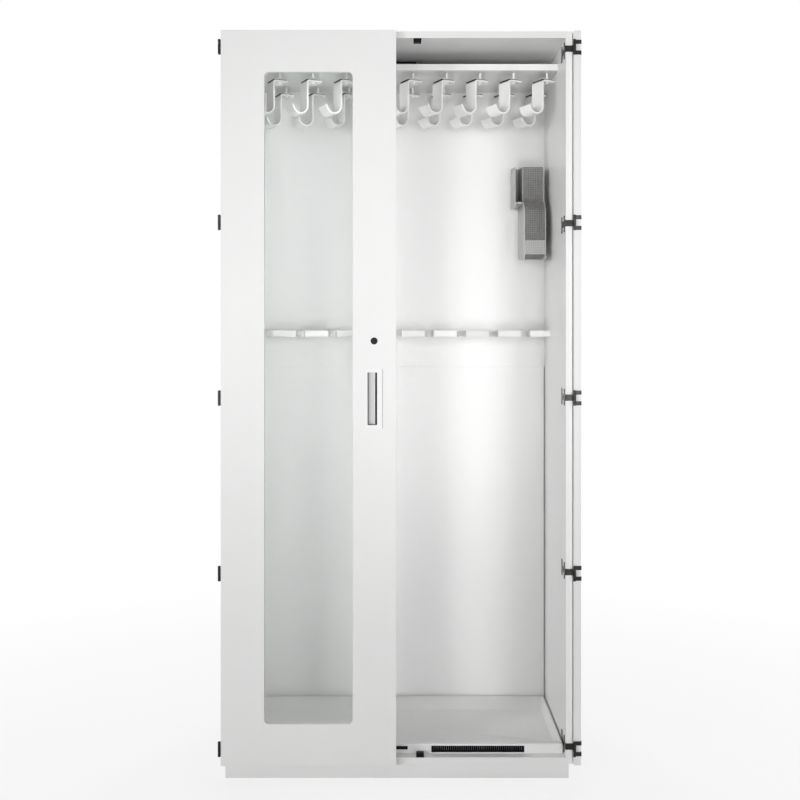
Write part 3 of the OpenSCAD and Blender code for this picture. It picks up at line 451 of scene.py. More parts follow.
def offset_line(line, distance):
    """The line moved sideways by a distance, for a bent strip's two faces."""
    moved = []
    for i, (x, y) in enumerate(line):
        x0, y0 = line[max(i - 1, 0)]
        x1, y1 = line[min(i + 1, len(line) - 1)]
        dx, dy = x1 - x0, y1 - y0
        size = math.hypot(dx, dy)
        moved.append((x - dy / size * distance, y + dx / size * distance))
    return moved


def extrude_outline(bm, outline, low, high, place):
    """A prism from a closed outline; place turns (u, v, w) into a point, with w from low to high."""
    first = [bm.verts.new(place(u, v, low)) for u, v in outline]
    last = [bm.verts.new(place(u, v, high)) for u, v in outline]
    bm.faces.new(first[::-1])
    bm.faces.new(last)
    count = len(outline)
    for i in range(count):
        j = (i + 1) % count
        bm.faces.new((first[i], first[j], last[j], last[i]))


def turned(bm, profile, place, segments, closed=False):
    """A turned shape: each point of the profile is a radius and a height; place takes (u, v, height)."""
    rings = []
    for radius, height in profile:
        angles = [i * math.tau / segments for i in range(segments if radius > 0 else 1)]
        points = [place(radius * math.cos(a), radius * math.sin(a), height) for a in angles]
        rings.append([bm.verts.new(point) for point in points])
    pairs = list(zip(rings, rings[1:]))
    if closed:
        pairs.append((rings[-1], rings[0]))
    for first, second in pairs:
        for i in range(segments):
            j = (i + 1) % segments
            if len(first) == 1:
                bm.faces.new((first[0], second[j], second[i]))
            elif len(second) == 1:
                bm.faces.new((first[i], first[j], second[0]))
            else:
                bm.faces.new((first[i], first[j], second[j], second[i]))


def carve(solid, cutter):
    """The first shape without the second, as a new bmesh; both are used up."""
    shapes = []
    for bm in (solid, cutter):
        bmesh.ops.recalc_face_normals(bm, faces=bm.faces)
        shapes.append(add_object("blank", mesh_data("blank", bm)))
    cut = shapes[0].modifiers.new("Cut", "BOOLEAN")
    cut.object, cut.operation, cut.solver = shapes[1], "DIFFERENCE", "EXACT"
    bpy.context.view_layer.update()
    result = bmesh.new()
    result.from_mesh(shapes[0].evaluated_get(bpy.context.evaluated_depsgraph_get()).to_mesh())
    for thing in shapes:
        data = thing.data
        bpy.data.objects.remove(thing)
        bpy.data.meshes.remove(data)
    return result


def unite(first, second):
    """Both shapes in one bmesh; both are used up."""
    data = mesh_data("second", second)
    first.from_mesh(data)
    bpy.data.meshes.remove(data)
    return first


def copies(bm, seats):
    """The shape repeated at each seat, as a new bmesh; the shape is used up."""
    bmesh.ops.recalc_face_normals(bm, faces=bm.faces)
    data = mesh_data("pattern", bm)
    result = bmesh.new()
    for seat in seats:
        moved = data.copy()
        moved.transform(seat)
        if seat.determinant() < 0:
            moved.flip_normals()
        result.from_mesh(moved)
        bpy.data.meshes.remove(moved)
    bpy.data.meshes.remove(data)
    return result


def ring_tube(bm, radius, wire, place):
    """A closed round wire: place takes (u, v, height)."""
    turns, sides = 72, 10
    rings = []
    for i in range(turns):
        a = i * math.tau / turns
        rings.append([bm.verts.new(place((radius + wire * math.cos(b)) * math.cos(a),
                                         (radius + wire * math.cos(b)) * math.sin(a), wire * math.sin(b)))
                      for b in (k * math.tau / sides for k in range(sides))])
    for i in range(turns):
        first, second = rings[i], rings[(i + 1) % turns]
        for k in range(sides):
            m = (k + 1) % sides
            bm.faces.new((first[k], first[m], second[m], second[k]))


def round_corners(corners):
    """A closed outline from (u, v, radius) corners, with arcs in place of the corners."""
    steps = 5
    outline = []
    count = len(corners)
    for i, (u, v, radius) in enumerate(corners):
        here = Vector((u, v))
        before = Vector(corners[i - 1][:2]) - here
        after = Vector(corners[(i + 1) % count][:2]) - here
        if radius <= 0:
            outline.append((u, v))
            continue
        before.normalize()
        after.normalize()
        half = before.angle(after) / 2
        reach = radius / math.tan(half)
        middle = here + (before + after).normalized() * (radius / math.sin(half))
        start, stop = here + before * reach - middle, here + after * reach - middle
        swing = start.angle_signed(stop)
        for k in range(steps + 1):
            point = start.copy()
            point.rotate(Matrix.Rotation(-swing * k / steps, 2))
            outline.append((middle.x + point.x, middle.y + point.y))
    return outline


def box_outline(u0, v0, u1, v1, radius=0):
    """A rectangle, with arcs in place of its corners where a radius is given."""
    return round_corners([(u0, v0, radius), (u1, v0, radius), (u1, v1, radius), (u0, v1, radius)])


def bent_path(points, radius):
    """An open line with its inner corners rounded."""
    steps = 4
    path = [Vector(points[0])]
    for before, here, after in zip(points, points[1:], points[2:]):
        a, b = Vector(before) - Vector(here), Vector(after) - Vector(here)
        start, stop = Vector(here) + a.normalized() * radius, Vector(here) + b.normalized() * radius
        for i in range(steps + 1):
            t = i / steps
            path.append(start * (1 - t) ** 2 + Vector(here) * 2 * t * (1 - t) + stop * t * t)
    path.append(Vector(points[-1]))
    return path


def level(u, v, w):
    """Place for an outline that lies level and is raised along z."""
    return Vector((u, v, w))


# ---------------------------------------------------------------- stage

LAMPS = (  # name, place, target, width and height, angle of the light's fan in degrees, its setting
    ("left_lamp", (-2.14, -5.6, 1.5), (0, 0, 1.3), (1.0, 1.8), 62, "left_power"),
    ("front_lamp", (0.62, -5.9, 1.5), (0.1, 0, 1.3), (0.6, 1.4), 62, "front_power"),
    ("right_lamp", (1.94, -5.6, 1.5), (0, 0, 1.3), (1.0, 1.8), 62, "right_power"),
    ("side_lamp", (-4.9, -4.7, 1.5), (0.2, 0, 1.3), (1.2, 2.4), 62, "side_power"),
    ("low_lamp", (0.4, -4.6, 0.35), (0.2, 0, 2.08), (0.8, 0.8), 40, "low_power"),
    ("top_lamp", (0, 0, 6), (0, 0, 2.14), (1.2, 1.2), 30, "top_power"),
    ("far_lamp", (5.2, 0.8, 1.8), (0.5, 0, 1.2), (1.2, 2.0), 60, "far_power"),
    ("rear_lamp_left", (-1.9, 3.4, 3.0), (0, 0.24, 1.2), (1.4, 1.4), 180, "rear_power"),
    ("rear_lamp_right", (1.9, 3.4, 3.0), (0, 0.24, 1.2), (1.4, 1.4), 180, "rear_power"),
)
FLOOR_RADIUS, FLOOR_DARK, FLOOR_LIGHT = 30, (0.7, 0.7, 0.7), (0.75, 0.75, 0.75)
GLOW_NEAR, GLOW_FAR, GLOW_START, GLOW_END = 0.8, 1.0, 0.6, 2.4
SENSOR_W, CLIP_START, CLIP_END = 36, 0.05, 60


def add_lamp(name, place, target, size, fan, strength):
    """A soft box that stands at a place and faces a target."""
    lamp = bpy.data.lights.new(name, "AREA")
    lamp.spread = math.radians(fan)
    lamp.shape, lamp.energy = "RECTANGLE", strength
    lamp.size, lamp.size_y = size
    thing = add_object(name, lamp)
    thing.location = place
    thing.rotation_euler = (Vector(target) - thing.location).to_track_quat("-Z", "Y").to_euler()


def seen_directly(tree):
    """1 where the camera, a gloss or a pane looks straight at the surroundings."""
    path = node(tree, "ShaderNodeLightPath")
    shown = maths(tree, "MAXIMUM", path.outputs["Is Camera Ray"], path.outputs["Is Glossy Ray"])
    return maths(tree, "MAXIMUM", shown, path.outputs["Is Transmission Ray"])


def make_world(strength):
    world = bpy.data.worlds.new("Studio")
    bpy.context.scene.world = world
    world.use_nodes = True
    tree = world.node_tree
    sky = tree.nodes["Background"]
    sky.inputs["Color"].default_value = (1, 1, 1, 1)
    tree.links.new(spread(tree, seen_directly(tree), strength, 1.0), sky.inputs["Strength"])


def make_floor():
    """A pale floor that keeps its shadow and fades into the bright surroundings away from the cabinet."""
    bm = bmesh.new()
    bmesh.ops.create_circle(bm, cap_ends=True, segments=64, radius=FLOOR_RADIUS)
    floor = add_object("floor", mesh_data("floor", bm))
    made, tree, shader = new_finish("Studio floor")
    shader.inputs["Roughness"].default_value = 0.9
    shader.inputs["Specular IOR Level"].default_value = 0.1
    fine = noise(tree, object_place(tree), 40, 5.0)
    tree.links.new(blend_colours(tree, fine, FLOOR_DARK, FLOOR_LIGHT), shader.inputs["Base Color"])
    glow = node(tree, "ShaderNodeEmission")
    glow.inputs["Strength"].default_value = 1.0
    mixed = node(tree, "ShaderNodeMixShader")
    away = node(tree, "ShaderNodeVectorMath", operation="LENGTH")
    tree.links.new(object_place(tree), away.inputs[0])
    share = spread(tree, away.outputs["Value"], GLOW_NEAR, GLOW_FAR, GLOW_START, GLOW_END)
    tree.links.new(maths(tree, "MULTIPLY", seen_directly(tree), share), mixed.inputs[0])
    tree.links.new(shader.outputs[0], mixed.inputs[1])
    tree.links.new(glow.outputs[0], mixed.inputs[2])
    tree.links.new(mixed.outputs[0], tree.nodes["Material Output"].inputs["Surface"])
    floor.data.materials.append(made)


def make_camera():
    settings = stage_settings()
    lens = bpy.data.cameras.new("camera")
    lens.sensor_width, lens.lens, lens.shift_y = SENSOR_W, settings.lens, settings.shift
    lens.clip_start, lens.clip_end = CLIP_START, CLIP_END
    camera = add_object("camera", lens)
    camera.location = (settings.camera_x, -settings.camera_y, settings.camera_z)
    camera.rotation_euler = (math.radians(90), 0, 0)
    bpy.context.scene.camera = camera


class CABINET_OT_stage(bpy.types.Operator):
    """Sets up the camera, the lamps, the room light and the floor"""

    bl_idname = "cabinet.stage"
    bl_label = "Stage"

    def execute(self, context):
        settings = stage_settings()
        context.scene.view_settings.view_transform = "Standard"
        make_camera()
        make_world(settings.sky)
        make_floor()
        for name, place, target, size, fan, setting in LAMPS:
            add_lamp(name, place, target, size, fan, getattr(settings, setting))
        return {"FINISHED"}


class CABINET_OT_boards(bpy.types.Operator):
    """Makes the finishes and gives each CAD node its own"""

    bl_idname = "cabinet.boards"
    bl_label = "Boards and finishes"

    def execute(self, context):
        make_finishes()
        dress_nodes()
        return {"FINISHED"}


# ---------------------------------------------------------------- hooks

HOOK_W, HOOK_T, HOOK_H, HOOK_FLANGE = 59 * MM, 5 * MM, 105 * MM, 45 * MM
HOOK_BOW, HOOK_TURN, HOOK_TIP = 20 * MM, 156, 12 * MM
HOOK_COUNT, HOOK_PITCH, HOOK_FIRST = 9, 101 * MM, -371 * MM
HOOK_ROWS = {"front_hooks": -70 * MM, "rear_hooks": 127 * MM}
HOOK_TOP, HOOK_ANGLE = 2043 * MM, 26
# Thin black pads on the hooks' flanges; they also paint the shadow gap above the flanges.
SHADOW_PAD_LOW, SHADOW_PAD_HIGH, SHADOW_PAD_STEP, SHADOW_PAD_CORNER = 0.1 * MM, 1.6 * MM, 0.5 * MM, 3 * MM


def hook_line(bend):
    """Middle line of a hook's strip: along the flange, down the leg, round the bow and out to the tip."""
    half = HOOK_T / 2
    bow_z = HOOK_BOW + HOOK_T - HOOK_H
    line = [(HOOK_FLANGE, -half)]
    line += arc(half + bend, -half - bend, bend, 90, 180, 8)
    line += arc(-HOOK_BOW, bow_z, HOOK_BOW + half, 0, -HOOK_TURN, 24)
    last = math.radians(HOOK_TURN)
    x, y = line[-1]
    line.append((x - math.sin(last) * HOOK_TIP, y - math.cos(last) * HOOK_TIP))
    return line


def hook_seat(i, y):
    """Place and turn of one hook's corner."""
    return Matrix.Translation((HOOK_FIRST + i * HOOK_PITCH, y, HOOK_TOP)) @ Matrix.Rotation(
        math.radians(HOOK_ANGLE), 4, "Z")


class CABINET_OT_hooks(bpy.types.Operator):
    """Builds both rows of bent hooks with black pads on their flanges, which also paint the shadow gap above
    the flanges
    """

    bl_idname = "cabinet.hooks"
    bl_label = "Hooks"

    def execute(self, context):
        line = hook_line(detail_settings().hook_bend)
        outline = offset_line(line, HOOK_T / 2) + offset_line(line, -HOOK_T / 2)[::-1]
        shadow_pad = box_outline(SHADOW_PAD_STEP, SHADOW_PAD_STEP, HOOK_FLANGE - SHADOW_PAD_STEP, HOOK_W - SHADOW_PAD_STEP, SHADOW_PAD_CORNER)
        for row, y in HOOK_ROWS.items():
            strips, shadow_pads = bmesh.new(), bmesh.new()
            for i in range(HOOK_COUNT):
                seat = hook_seat(i, y)
                extrude_outline(strips, outline, 0, HOOK_W, lambda u, v, w: seat @ Vector((u, w, v)))
                extrude_outline(shadow_pads, shadow_pad, SHADOW_PAD_LOW, SHADOW_PAD_HIGH, lambda u, v, w: seat @ Vector((u, v, w)))
            place_mesh(row + "_bent", strips, "hook_white", "cabinet", [row], bevel=0.0007)
            # The black pads, which also paint the shadow gap above the flanges.
            place_mesh(row + "_pads", shadow_pads, "black_plastic", "cabinet", bevel=0.0002)
        return {"FINISHED"}


# ---------------------------------------------------------------- doors' pulls and lock

FRONT_Y, BACK_Y = -262 * MM, -242 * MM
PIN_X, PIN_Y = 503 * MM, -261 * MM


def left_place(x, y, z):
    """A point of the left door from its place on a closed right-hand door."""
    return Vector((-x, y, z))


def right_place(x, y, z):
    """A point of the right door, which stands open through 270 degrees, from its place when closed."""
    return Vector((PIN_X - PIN_Y + y, PIN_X + PIN_Y - x, z))


def on_face(place):
    """The same place for outlines that are drawn on the door's face, as (x, z)."""
    return lambda u, v, w: place(u, w, v)


PULL_LEFT, PULL_RIGHT, PULL_LOW, PULL_HIGH = 41 * MM, 87.5 * MM, 1010 * MM, 1178.5 * MM
PULL_EDGE, PULL_FLANGE, PULL_CORNER, PULL_DEPTH, PULL_SINK = 2 * MM, 0.8 * MM, 1.6 * MM, 15 * MM, 0.2 * MM
GRIP_T, BOWL_CORNER, BOWL_STEPS = 3 * MM, 3 * MM, 12
BOWL_LOW, BOWL_HIGH, BOWL_FLOOR = PULL_LOW + 10 * MM, PULL_HIGH - 10 * MM, FRONT_Y + PULL_DEPTH - 2 * MM
BOWL_EDGE, BOWL_BEND = PULL_RIGHT - 4.5 * MM, 62 * MM
BOWL_MOUTH, BOWL_BEHIND = PULL_LEFT + 15 * MM, PULL_LEFT + 4 * MM
BEAD_X, BEAD_Y, BEAD_R = 63 * MM, FRONT_Y + 11.2 * MM, 1.5 * MM
# Black strips that paint the shadow lines in the pull's joints and under its grip; they are no parts of the
# pull.
SHADOW_STRIP_FRONT = FRONT_Y - 0.5 * MM
SHADOW_STRIPS = (  # x from and to, z from and to, y from and to
    (BOWL_EDGE - 2.6 * MM, BOWL_EDGE, BOWL_LOW, BOWL_HIGH, SHADOW_STRIP_FRONT, BOWL_FLOOR),
    (BOWL_MOUTH + 0.2 * MM, BOWL_MOUTH + 5.2 * MM, BOWL_LOW, BOWL_HIGH, BOWL_FLOOR - 5 * MM, BOWL_FLOOR),
    (BOWL_MOUTH, BOWL_EDGE, BOWL_LOW, BOWL_LOW + 1.3 * MM, SHADOW_STRIP_FRONT + 2 * MM, BOWL_FLOOR),
    (PULL_LEFT - 0.8 * MM, PULL_LEFT - 0.1 * MM, PULL_LOW, PULL_HIGH,
     FRONT_Y - 0.3 * MM, FRONT_Y + 0.4 * MM),
)


def pull_blank(place):
    """Flange and box of the pull before its bowl is cut."""
    flange, walls = bmesh.new(), bmesh.new()
    extrude_outline(flange, box_outline(PULL_LEFT, PULL_LOW, PULL_RIGHT, PULL_HIGH, PULL_CORNER),
                    FRONT_Y - PULL_FLANGE, FRONT_Y, on_face(place))
    inner = box_outline(PULL_LEFT + PULL_EDGE, PULL_LOW + PULL_EDGE,
                        PULL_RIGHT - PULL_EDGE, PULL_HIGH - PULL_EDGE)
    extrude_outline(walls, inner, FRONT_Y - PULL_SINK, FRONT_Y + PULL_DEPTH, on_face(place))
    return unite(flange, walls)


def pull_bowl(place):
    """The hollow for the fingers: a concave bowl that runs on behind the grip."""
    face = FRONT_Y - PULL_FLANGE - MM
    under = FRONT_Y - PULL_FLANGE + GRIP_T
    outline = [(BOWL_MOUTH, face), (BOWL_MOUTH, under), (BOWL_BEHIND + MM, under), (BOWL_BEHIND, under + MM),
               (BOWL_BEHIND, BOWL_FLOOR - BOWL_CORNER)]
    outline += arc(BOWL_BEHIND + BOWL_CORNER, BOWL_FLOOR - BOWL_CORNER, BOWL_CORNER, 180, 90, 5)
    deep = BOWL_FLOOR - FRONT_Y
    for i in range(BOWL_STEPS + 1):
        t = i / BOWL_STEPS
        outline.append((BOWL_BEND + (BOWL_EDGE - BOWL_BEND) * t, FRONT_Y + deep * (1 - t * t)))
    outline.append((BOWL_EDGE, face))
    bm = bmesh.new()
    extrude_outline(bm, outline, BOWL_LOW, BOWL_HIGH, place)
    return bm


def pull_shadow_strips(place):
    """Black strips of painted shadow in the joints: along the bowl's outer side, under the grip, at the foot
    and by the rim.
    """
    bm = bmesh.new()
    for x0, x1, z0, z1, y0, y1 in SHADOW_STRIPS:
        extrude_outline(bm, box_outline(x0, z0, x1, z1), y0, y1, on_face(place))
    return bm


def pull_bead(place):
    """Round bead along the inner end of the bowl, beside the slot."""
    bm = bmesh.new()
    extrude_outline(bm, arc(BEAD_X, BEAD_Y, BEAD_R, 0, 345, 23), BOWL_LOW, BOWL_HIGH, place)
    return bm


class CABINET_OT_pulls(bpy.types.Operator):
    """Builds the recessed pulls of both doors"""

    bl_idname = "cabinet.pulls"
    bl_label = "Recessed pulls"

    def execute(self, context):
        for side, place in (("left", left_place), ("right", right_place)):
            bm = unite(carve(pull_blank(place), pull_bowl(place)), pull_bead(place))
            place_mesh(side + "_pull_cast", bm, "pull_silver", side + "_door", [side + "_pull"],
                       bevel=0.0004)
            # Black strips of painted shadow in the pull's joints.
            place_mesh(side + "_pull_gaps", pull_shadow_strips(place), "lock_black", side + "_door")
        return {"FINISHED"}


LOCK_X, LOCK_Z = 64.5 * MM, 1258 * MM
LOCK_RING, LOCK_BARREL, PLUG, PLUG_HOLE, NUT_FLAT = 10 * MM, 9.5 * MM, 6 * MM, 6.05 * MM, 13 * MM
LOCK_FACE, NUT_BACK, CAM_Y = -263.2 * MM, -238 * MM, -237.2 * MM
KEY_W, KEY_HALF, KEY_NOTCH, KEY_DEPTH = 1 * MM, 3.5 * MM, 0.5 * MM, 12 * MM


class CABINET_OT_lock(bpy.types.Operator):
    """Builds the lock's ring, barrel and nut, and the cylinder with its keyhole"""

    bl_idname = "cabinet.lock"
    bl_label = "Lock"

    def execute(self, context):
        def place(u, v, w):
            return left_place(LOCK_X + u, w, LOCK_Z + v)

        bm = bmesh.new()
        dish = LOCK_FACE + 0.5 * MM
        turned(bm, [(PLUG_HOLE, dish), (7.4 * MM, dish), (7.8 * MM, LOCK_FACE + 0.1 * MM),
                    (8.2 * MM, LOCK_FACE), (9.4 * MM, LOCK_FACE + 0.1 * MM),
                    (9.9 * MM, LOCK_FACE + 0.5 * MM), (LOCK_RING, FRONT_Y), (LOCK_BARREL, FRONT_Y),
                    (LOCK_BARREL, BACK_Y), (LOCK_BARREL, NUT_BACK - 0.2 * MM),
                    (9.2 * MM, NUT_BACK), (PLUG_HOLE, NUT_BACK)], place, 48, closed=True)
        turned(bm, [(LOCK_BARREL, BACK_Y), (NUT_FLAT - 0.5 * MM, BACK_Y), (NUT_FLAT, BACK_Y + 0.5 * MM),
                    (NUT_FLAT, NUT_BACK - 0.7 * MM), (NUT_FLAT - 0.7 * MM, NUT_BACK),
                    (LOCK_BARREL, NUT_BACK)], place, 6, closed=True)
        place_mesh("lock_housing_turned", bm, "lock_black", "left_door", ["lock_housing"])

        plug, slot = bmesh.new(), bmesh.new()
        front = LOCK_FACE + 0.2 * MM
        turned(plug, [(0, front), (5.4 * MM, front), (PLUG, front + 0.5 * MM), (PLUG, CAM_Y), (0, CAM_Y)],
               place, 40)
        keyhole = [(-KEY_W, -KEY_HALF), (KEY_W, -KEY_HALF), (KEY_W, 0), (KEY_W + KEY_NOTCH, KEY_NOTCH),
                   (KEY_W, KEY_W), (KEY_W, KEY_HALF), (-KEY_W, KEY_HALF)]
        extrude_outline(slot, keyhole, front - MM, front + KEY_DEPTH, place)
        place_mesh("lock_plug_keyed", carve(plug, slot), "lock_black", "lock", ["lock_plug"], bevel=0.00015)
        return {"FINISHED"}


# ---------------------------------------------------------------- hinges

HINGE_Z = [(102.5 + 497 * i) * MM for i in range(5)]
SIDE_INNER, BODY_FRONT, HINGE_T = 481 * MM, -240 * MM, 1.5 * MM
KNUCKLE, KNUCKLE_HALF, KNUCKLE_GAP, HINGE_HALF, PIN = 4 * MM, 9 * MM, 0.3 * MM, 21 * MM, 2 * MM
WING_NEAR, WING_FAR, WING_SCREW_Z, LOBE = -216 * MM, -169 * MM, 15 * MM, 9 * MM
WING_ARM, LEAF_ARM, LEAF_END, LEAF_STEP = 500.45 * MM, 499.25 * MM, 436.5 * MM, 474.5 * MM
SHEET_BEND, ROLL_SOFT, ROLL_GAP, HINGE_SOFT = 2.4 * MM, 0.5 * MM, 0.05 * MM, 0.3 * MM
RIB, RIB_RISE = arc(0, 0, 2.6 * MM, 0, 180, 12), 0.45
WING_PROUD, LEAF_PROUD = SIDE_INNER - HINGE_T - 0.15 * MM, BACK_Y + HINGE_T + 0.1 * MM
PIN_CAP = [(0, 1 * MM), (1.6 * MM, 0.9 * MM), (2.5 * MM, 0.6 * MM), (3 * MM, 0.2 * MM), (3 * MM, 0),
           (PIN, 0)]


def bent_strip(bm, points, low, high):
    """A strip of sheet bent along its middle line, seen from above."""
    line = bent_path(points, SHEET_BEND)
    outline = offset_line(line, HINGE_T / 2) + offset_line(line, -HINGE_T / 2)[::-1]
    extrude_outline(bm, outline, low, high, level)


def round_pin(u, v, w):
    """Place for shapes that are turned round the hinge's pin."""
    return Vector((PIN_X + u, PIN_Y + v, w))


def rolled_knuckle(bm, low, high):
    """The sheet rolled round the pin, with softened ends."""
    soft, bore = ROLL_SOFT, PIN + ROLL_GAP
    turned(bm, [(bore, low + soft / 2), (KNUCKLE - soft, low), (KNUCKLE, low + soft), (KNUCKLE, high - soft),
                (KNUCKLE - soft, high), (bore, high - soft / 2)], round_pin, 28, closed=True)


def hinge_wing():
    """Wing on the side board: two pairs of lobes, a pressed rib, a cranked arm and its knuckle."""
    bm = bmesh.new()
    half = [(BODY_FRONT + 5 * MM, -KNUCKLE_HALF)]
    half += arc(WING_NEAR, -WING_SCREW_Z, LOBE, 138, 402, 22)
    half += arc(WING_FAR, -WING_SCREW_Z, LOBE, 138, 395, 22)
    half += [(WING_FAR + 5.4 * MM, -5 * MM), (WING_FAR + 4.6 * MM, 0)]
    outline = half + [(y, -z) for y, z in half[-2::-1]]
    extrude_outline(bm, outline, WING_PROUD, SIDE_INNER, lambda u, v, w: Vector((w, u, v)))
    extrude_outline(bm, RIB, WING_NEAR + 6 * MM, WING_FAR - 7 * MM,
                    lambda u, v, w: Vector((WING_PROUD - v * RIB_RISE, w, u)))
    plate, face = SIDE_INNER - HINGE_T / 2, BODY_FRONT - HINGE_T / 2
    bent_strip(bm, [(plate, BODY_FRONT + 8 * MM), (plate, face), (WING_ARM, face), (WING_ARM, PIN_Y)],
               -KNUCKLE_HALF, KNUCKLE_HALF)
    rolled_knuckle(bm, -KNUCKLE_HALF, KNUCKLE_HALF)
    return bm


def hinge_leaf():
    """Leaf on the door: a waisted plate and two arms round the door's edge, each with a knuckle."""
    bm = bmesh.new()
    step, inner = LEAF_STEP + 6 * MM, KNUCKLE_HALF + KNUCKLE_GAP
    corners = [(LEAF_END, -HINGE_HALF, 6 * MM), (step, -HINGE_HALF, 0), (step, -inner, 0),
               (LEAF_STEP, -inner, 3 * MM), (LEAF_STEP, inner, 3 * MM), (step, inner, 0),
               (step, HINGE_HALF, 0), (LEAF_END, HINGE_HALF, 6 * MM), (LEAF_END, 6 * MM, 3 * MM),
               (LEAF_END + 5 * MM, 0, 4 * MM), (LEAF_END, -6 * MM, 3 * MM)]
    extrude_outline(bm, round_corners(corners), BACK_Y, LEAF_PROUD, lambda u, v, w: Vector((u, w, v)))
    extrude_outline(bm, RIB, LEAF_END + 8 * MM, LEAF_STEP - 5 * MM,
                    lambda u, v, w: Vector((w, BACK_Y + HINGE_T + v * RIB_RISE, u)))
    middle = BACK_Y + HINGE_T / 2
    for low, high in ((-HINGE_HALF, -inner), (inner, HINGE_HALF)):
        bent_strip(bm, [(step - 2 * MM, middle), (LEAF_ARM, middle), (LEAF_ARM, PIN_Y)], low, high)
        rolled_knuckle(bm, low, high)
    return bm


def hinge_pin():
    """Pin with a domed cap at each end."""
    bm = bmesh.new()
    end = HINGE_HALF + KNUCKLE_GAP
    half = [(radius, end + rise) for radius, rise in PIN_CAP]
    turned(bm, half + [(radius, -height) for radius, height in half[::-1]], round_pin, 24)
    return bm


class CABINET_OT_hinges(bpy.types.Operator):
    """Builds the wings, leaves and pins of the ten hinges"""

    bl_idname = "cabinet.hinges"
    bl_label = "Hinges"

    def execute(self, context):
        levels = [Matrix.Translation((0, 0, z)) for z in HINGE_Z]
        mirrored = Matrix.Diagonal((-1, 1, 1, 1))
        opened = Matrix(((0, 1, 0, PIN_X - PIN_Y), (-1, 0, 0, PIN_X + PIN_Y), (0, 0, 1, 0), (0, 0, 0, 1)))
        for side, turn in (("left", mirrored), ("right", Matrix.Identity(4))):
            seats = [turn @ height for height in levels]
            place_mesh("hinge_wings_" + side + "_pressed", copies(hinge_wing(), seats), "hinge_nickel",
                       "cabinet", ["hinge_wings_" + side], bevel=HINGE_SOFT)
            place_mesh("hinge_pins_" + side + "_domed", copies(hinge_pin(), seats), "hinge_nickel",
                       "cabinet", ["hinge_pins_" + side])
        for side, turn in (("left", mirrored), ("right", opened)):
            seats = [turn @ height for height in levels]
            place_mesh(side + "_hinge_leaves_pressed", copies(hinge_leaf(), seats), "hinge_nickel",
                       side + "_door", [side + "_hinge_leaves"], bevel=HINGE_SOFT)
        return {"FINISHED"}


# ---------------------------------------------------------------- screws

HINGE_SCREW = (3.75 * MM, 1.5 * MM, 1.75 * MM)
HOOK_SCREW, HOLDER_SCREW = (5 * MM, 4 * MM, 2 * MM), (4 * MM, 2 * MM, 2 * MM)
WING_FACE, WING_TURNS = 479.5 * MM, (37, 23)
LEAF_SCREW_X, LEAF_SCREW_Z, LEAF_TURNS = (445.5 * MM, 465.5 * MM), 10.5 * MM, (29, 41)
HOOK_SCREW_U, HOOK_SCREW_W = 25 * MM, 14 * MM
HOLDER_SCREW_SEATS = (((427 * MM, 218 * MM, 1665 * MM), 20), ((427 * MM, 218 * MM, 1773 * MM), 65))
CROSS_ARM, CROSS_HALF, CROSS_FLOOR = 0.58, 0.13, 0.35


def cross_screw(size, length, dome=0.5):
    """A screw along +Z with its head on top of the origin, a cross recess and a tapered end.

    The size holds the head's radius, the head's height and the shank's radius.
    """
    head, height, shank = size
    bm, cross = bmesh.new(), bmesh.new()
    profile = [(0, -length), (shank * 0.3, -length), (shank, -length + 2 * shank), (shank, 0), (head, 0)]
    profile += [(head * math.cos(a), height * (1 - dome) + height * dome * math.sin(a))
                for a in (math.radians(step) for step in (0, 20, 40, 60, 78))]
    profile.append((0, height))
    turned(bm, profile, level, 20)
    arm, half = head * CROSS_ARM, head * CROSS_HALF
    plus = [(half, half), (arm, half), (arm, -half), (half, -half), (half, -arm), (-half, -arm),
            (-half, -half), (-arm, -half), (-arm, half), (-half, half), (-half, arm), (half, arm)]
    extrude_outline(cross, plus, height * CROSS_FLOOR, height * 1.5, level)
    return carve(bm, cross)


def seat_of(place, direction, turn):
    """Seat for a screw: its head points along the direction."""
    axis = Vector(direction).to_track_quat("Z", "Y").to_matrix().to_4x4()
    return Matrix.Translation(place) @ axis @ Matrix.Rotation(math.radians(turn), 4, "Z")


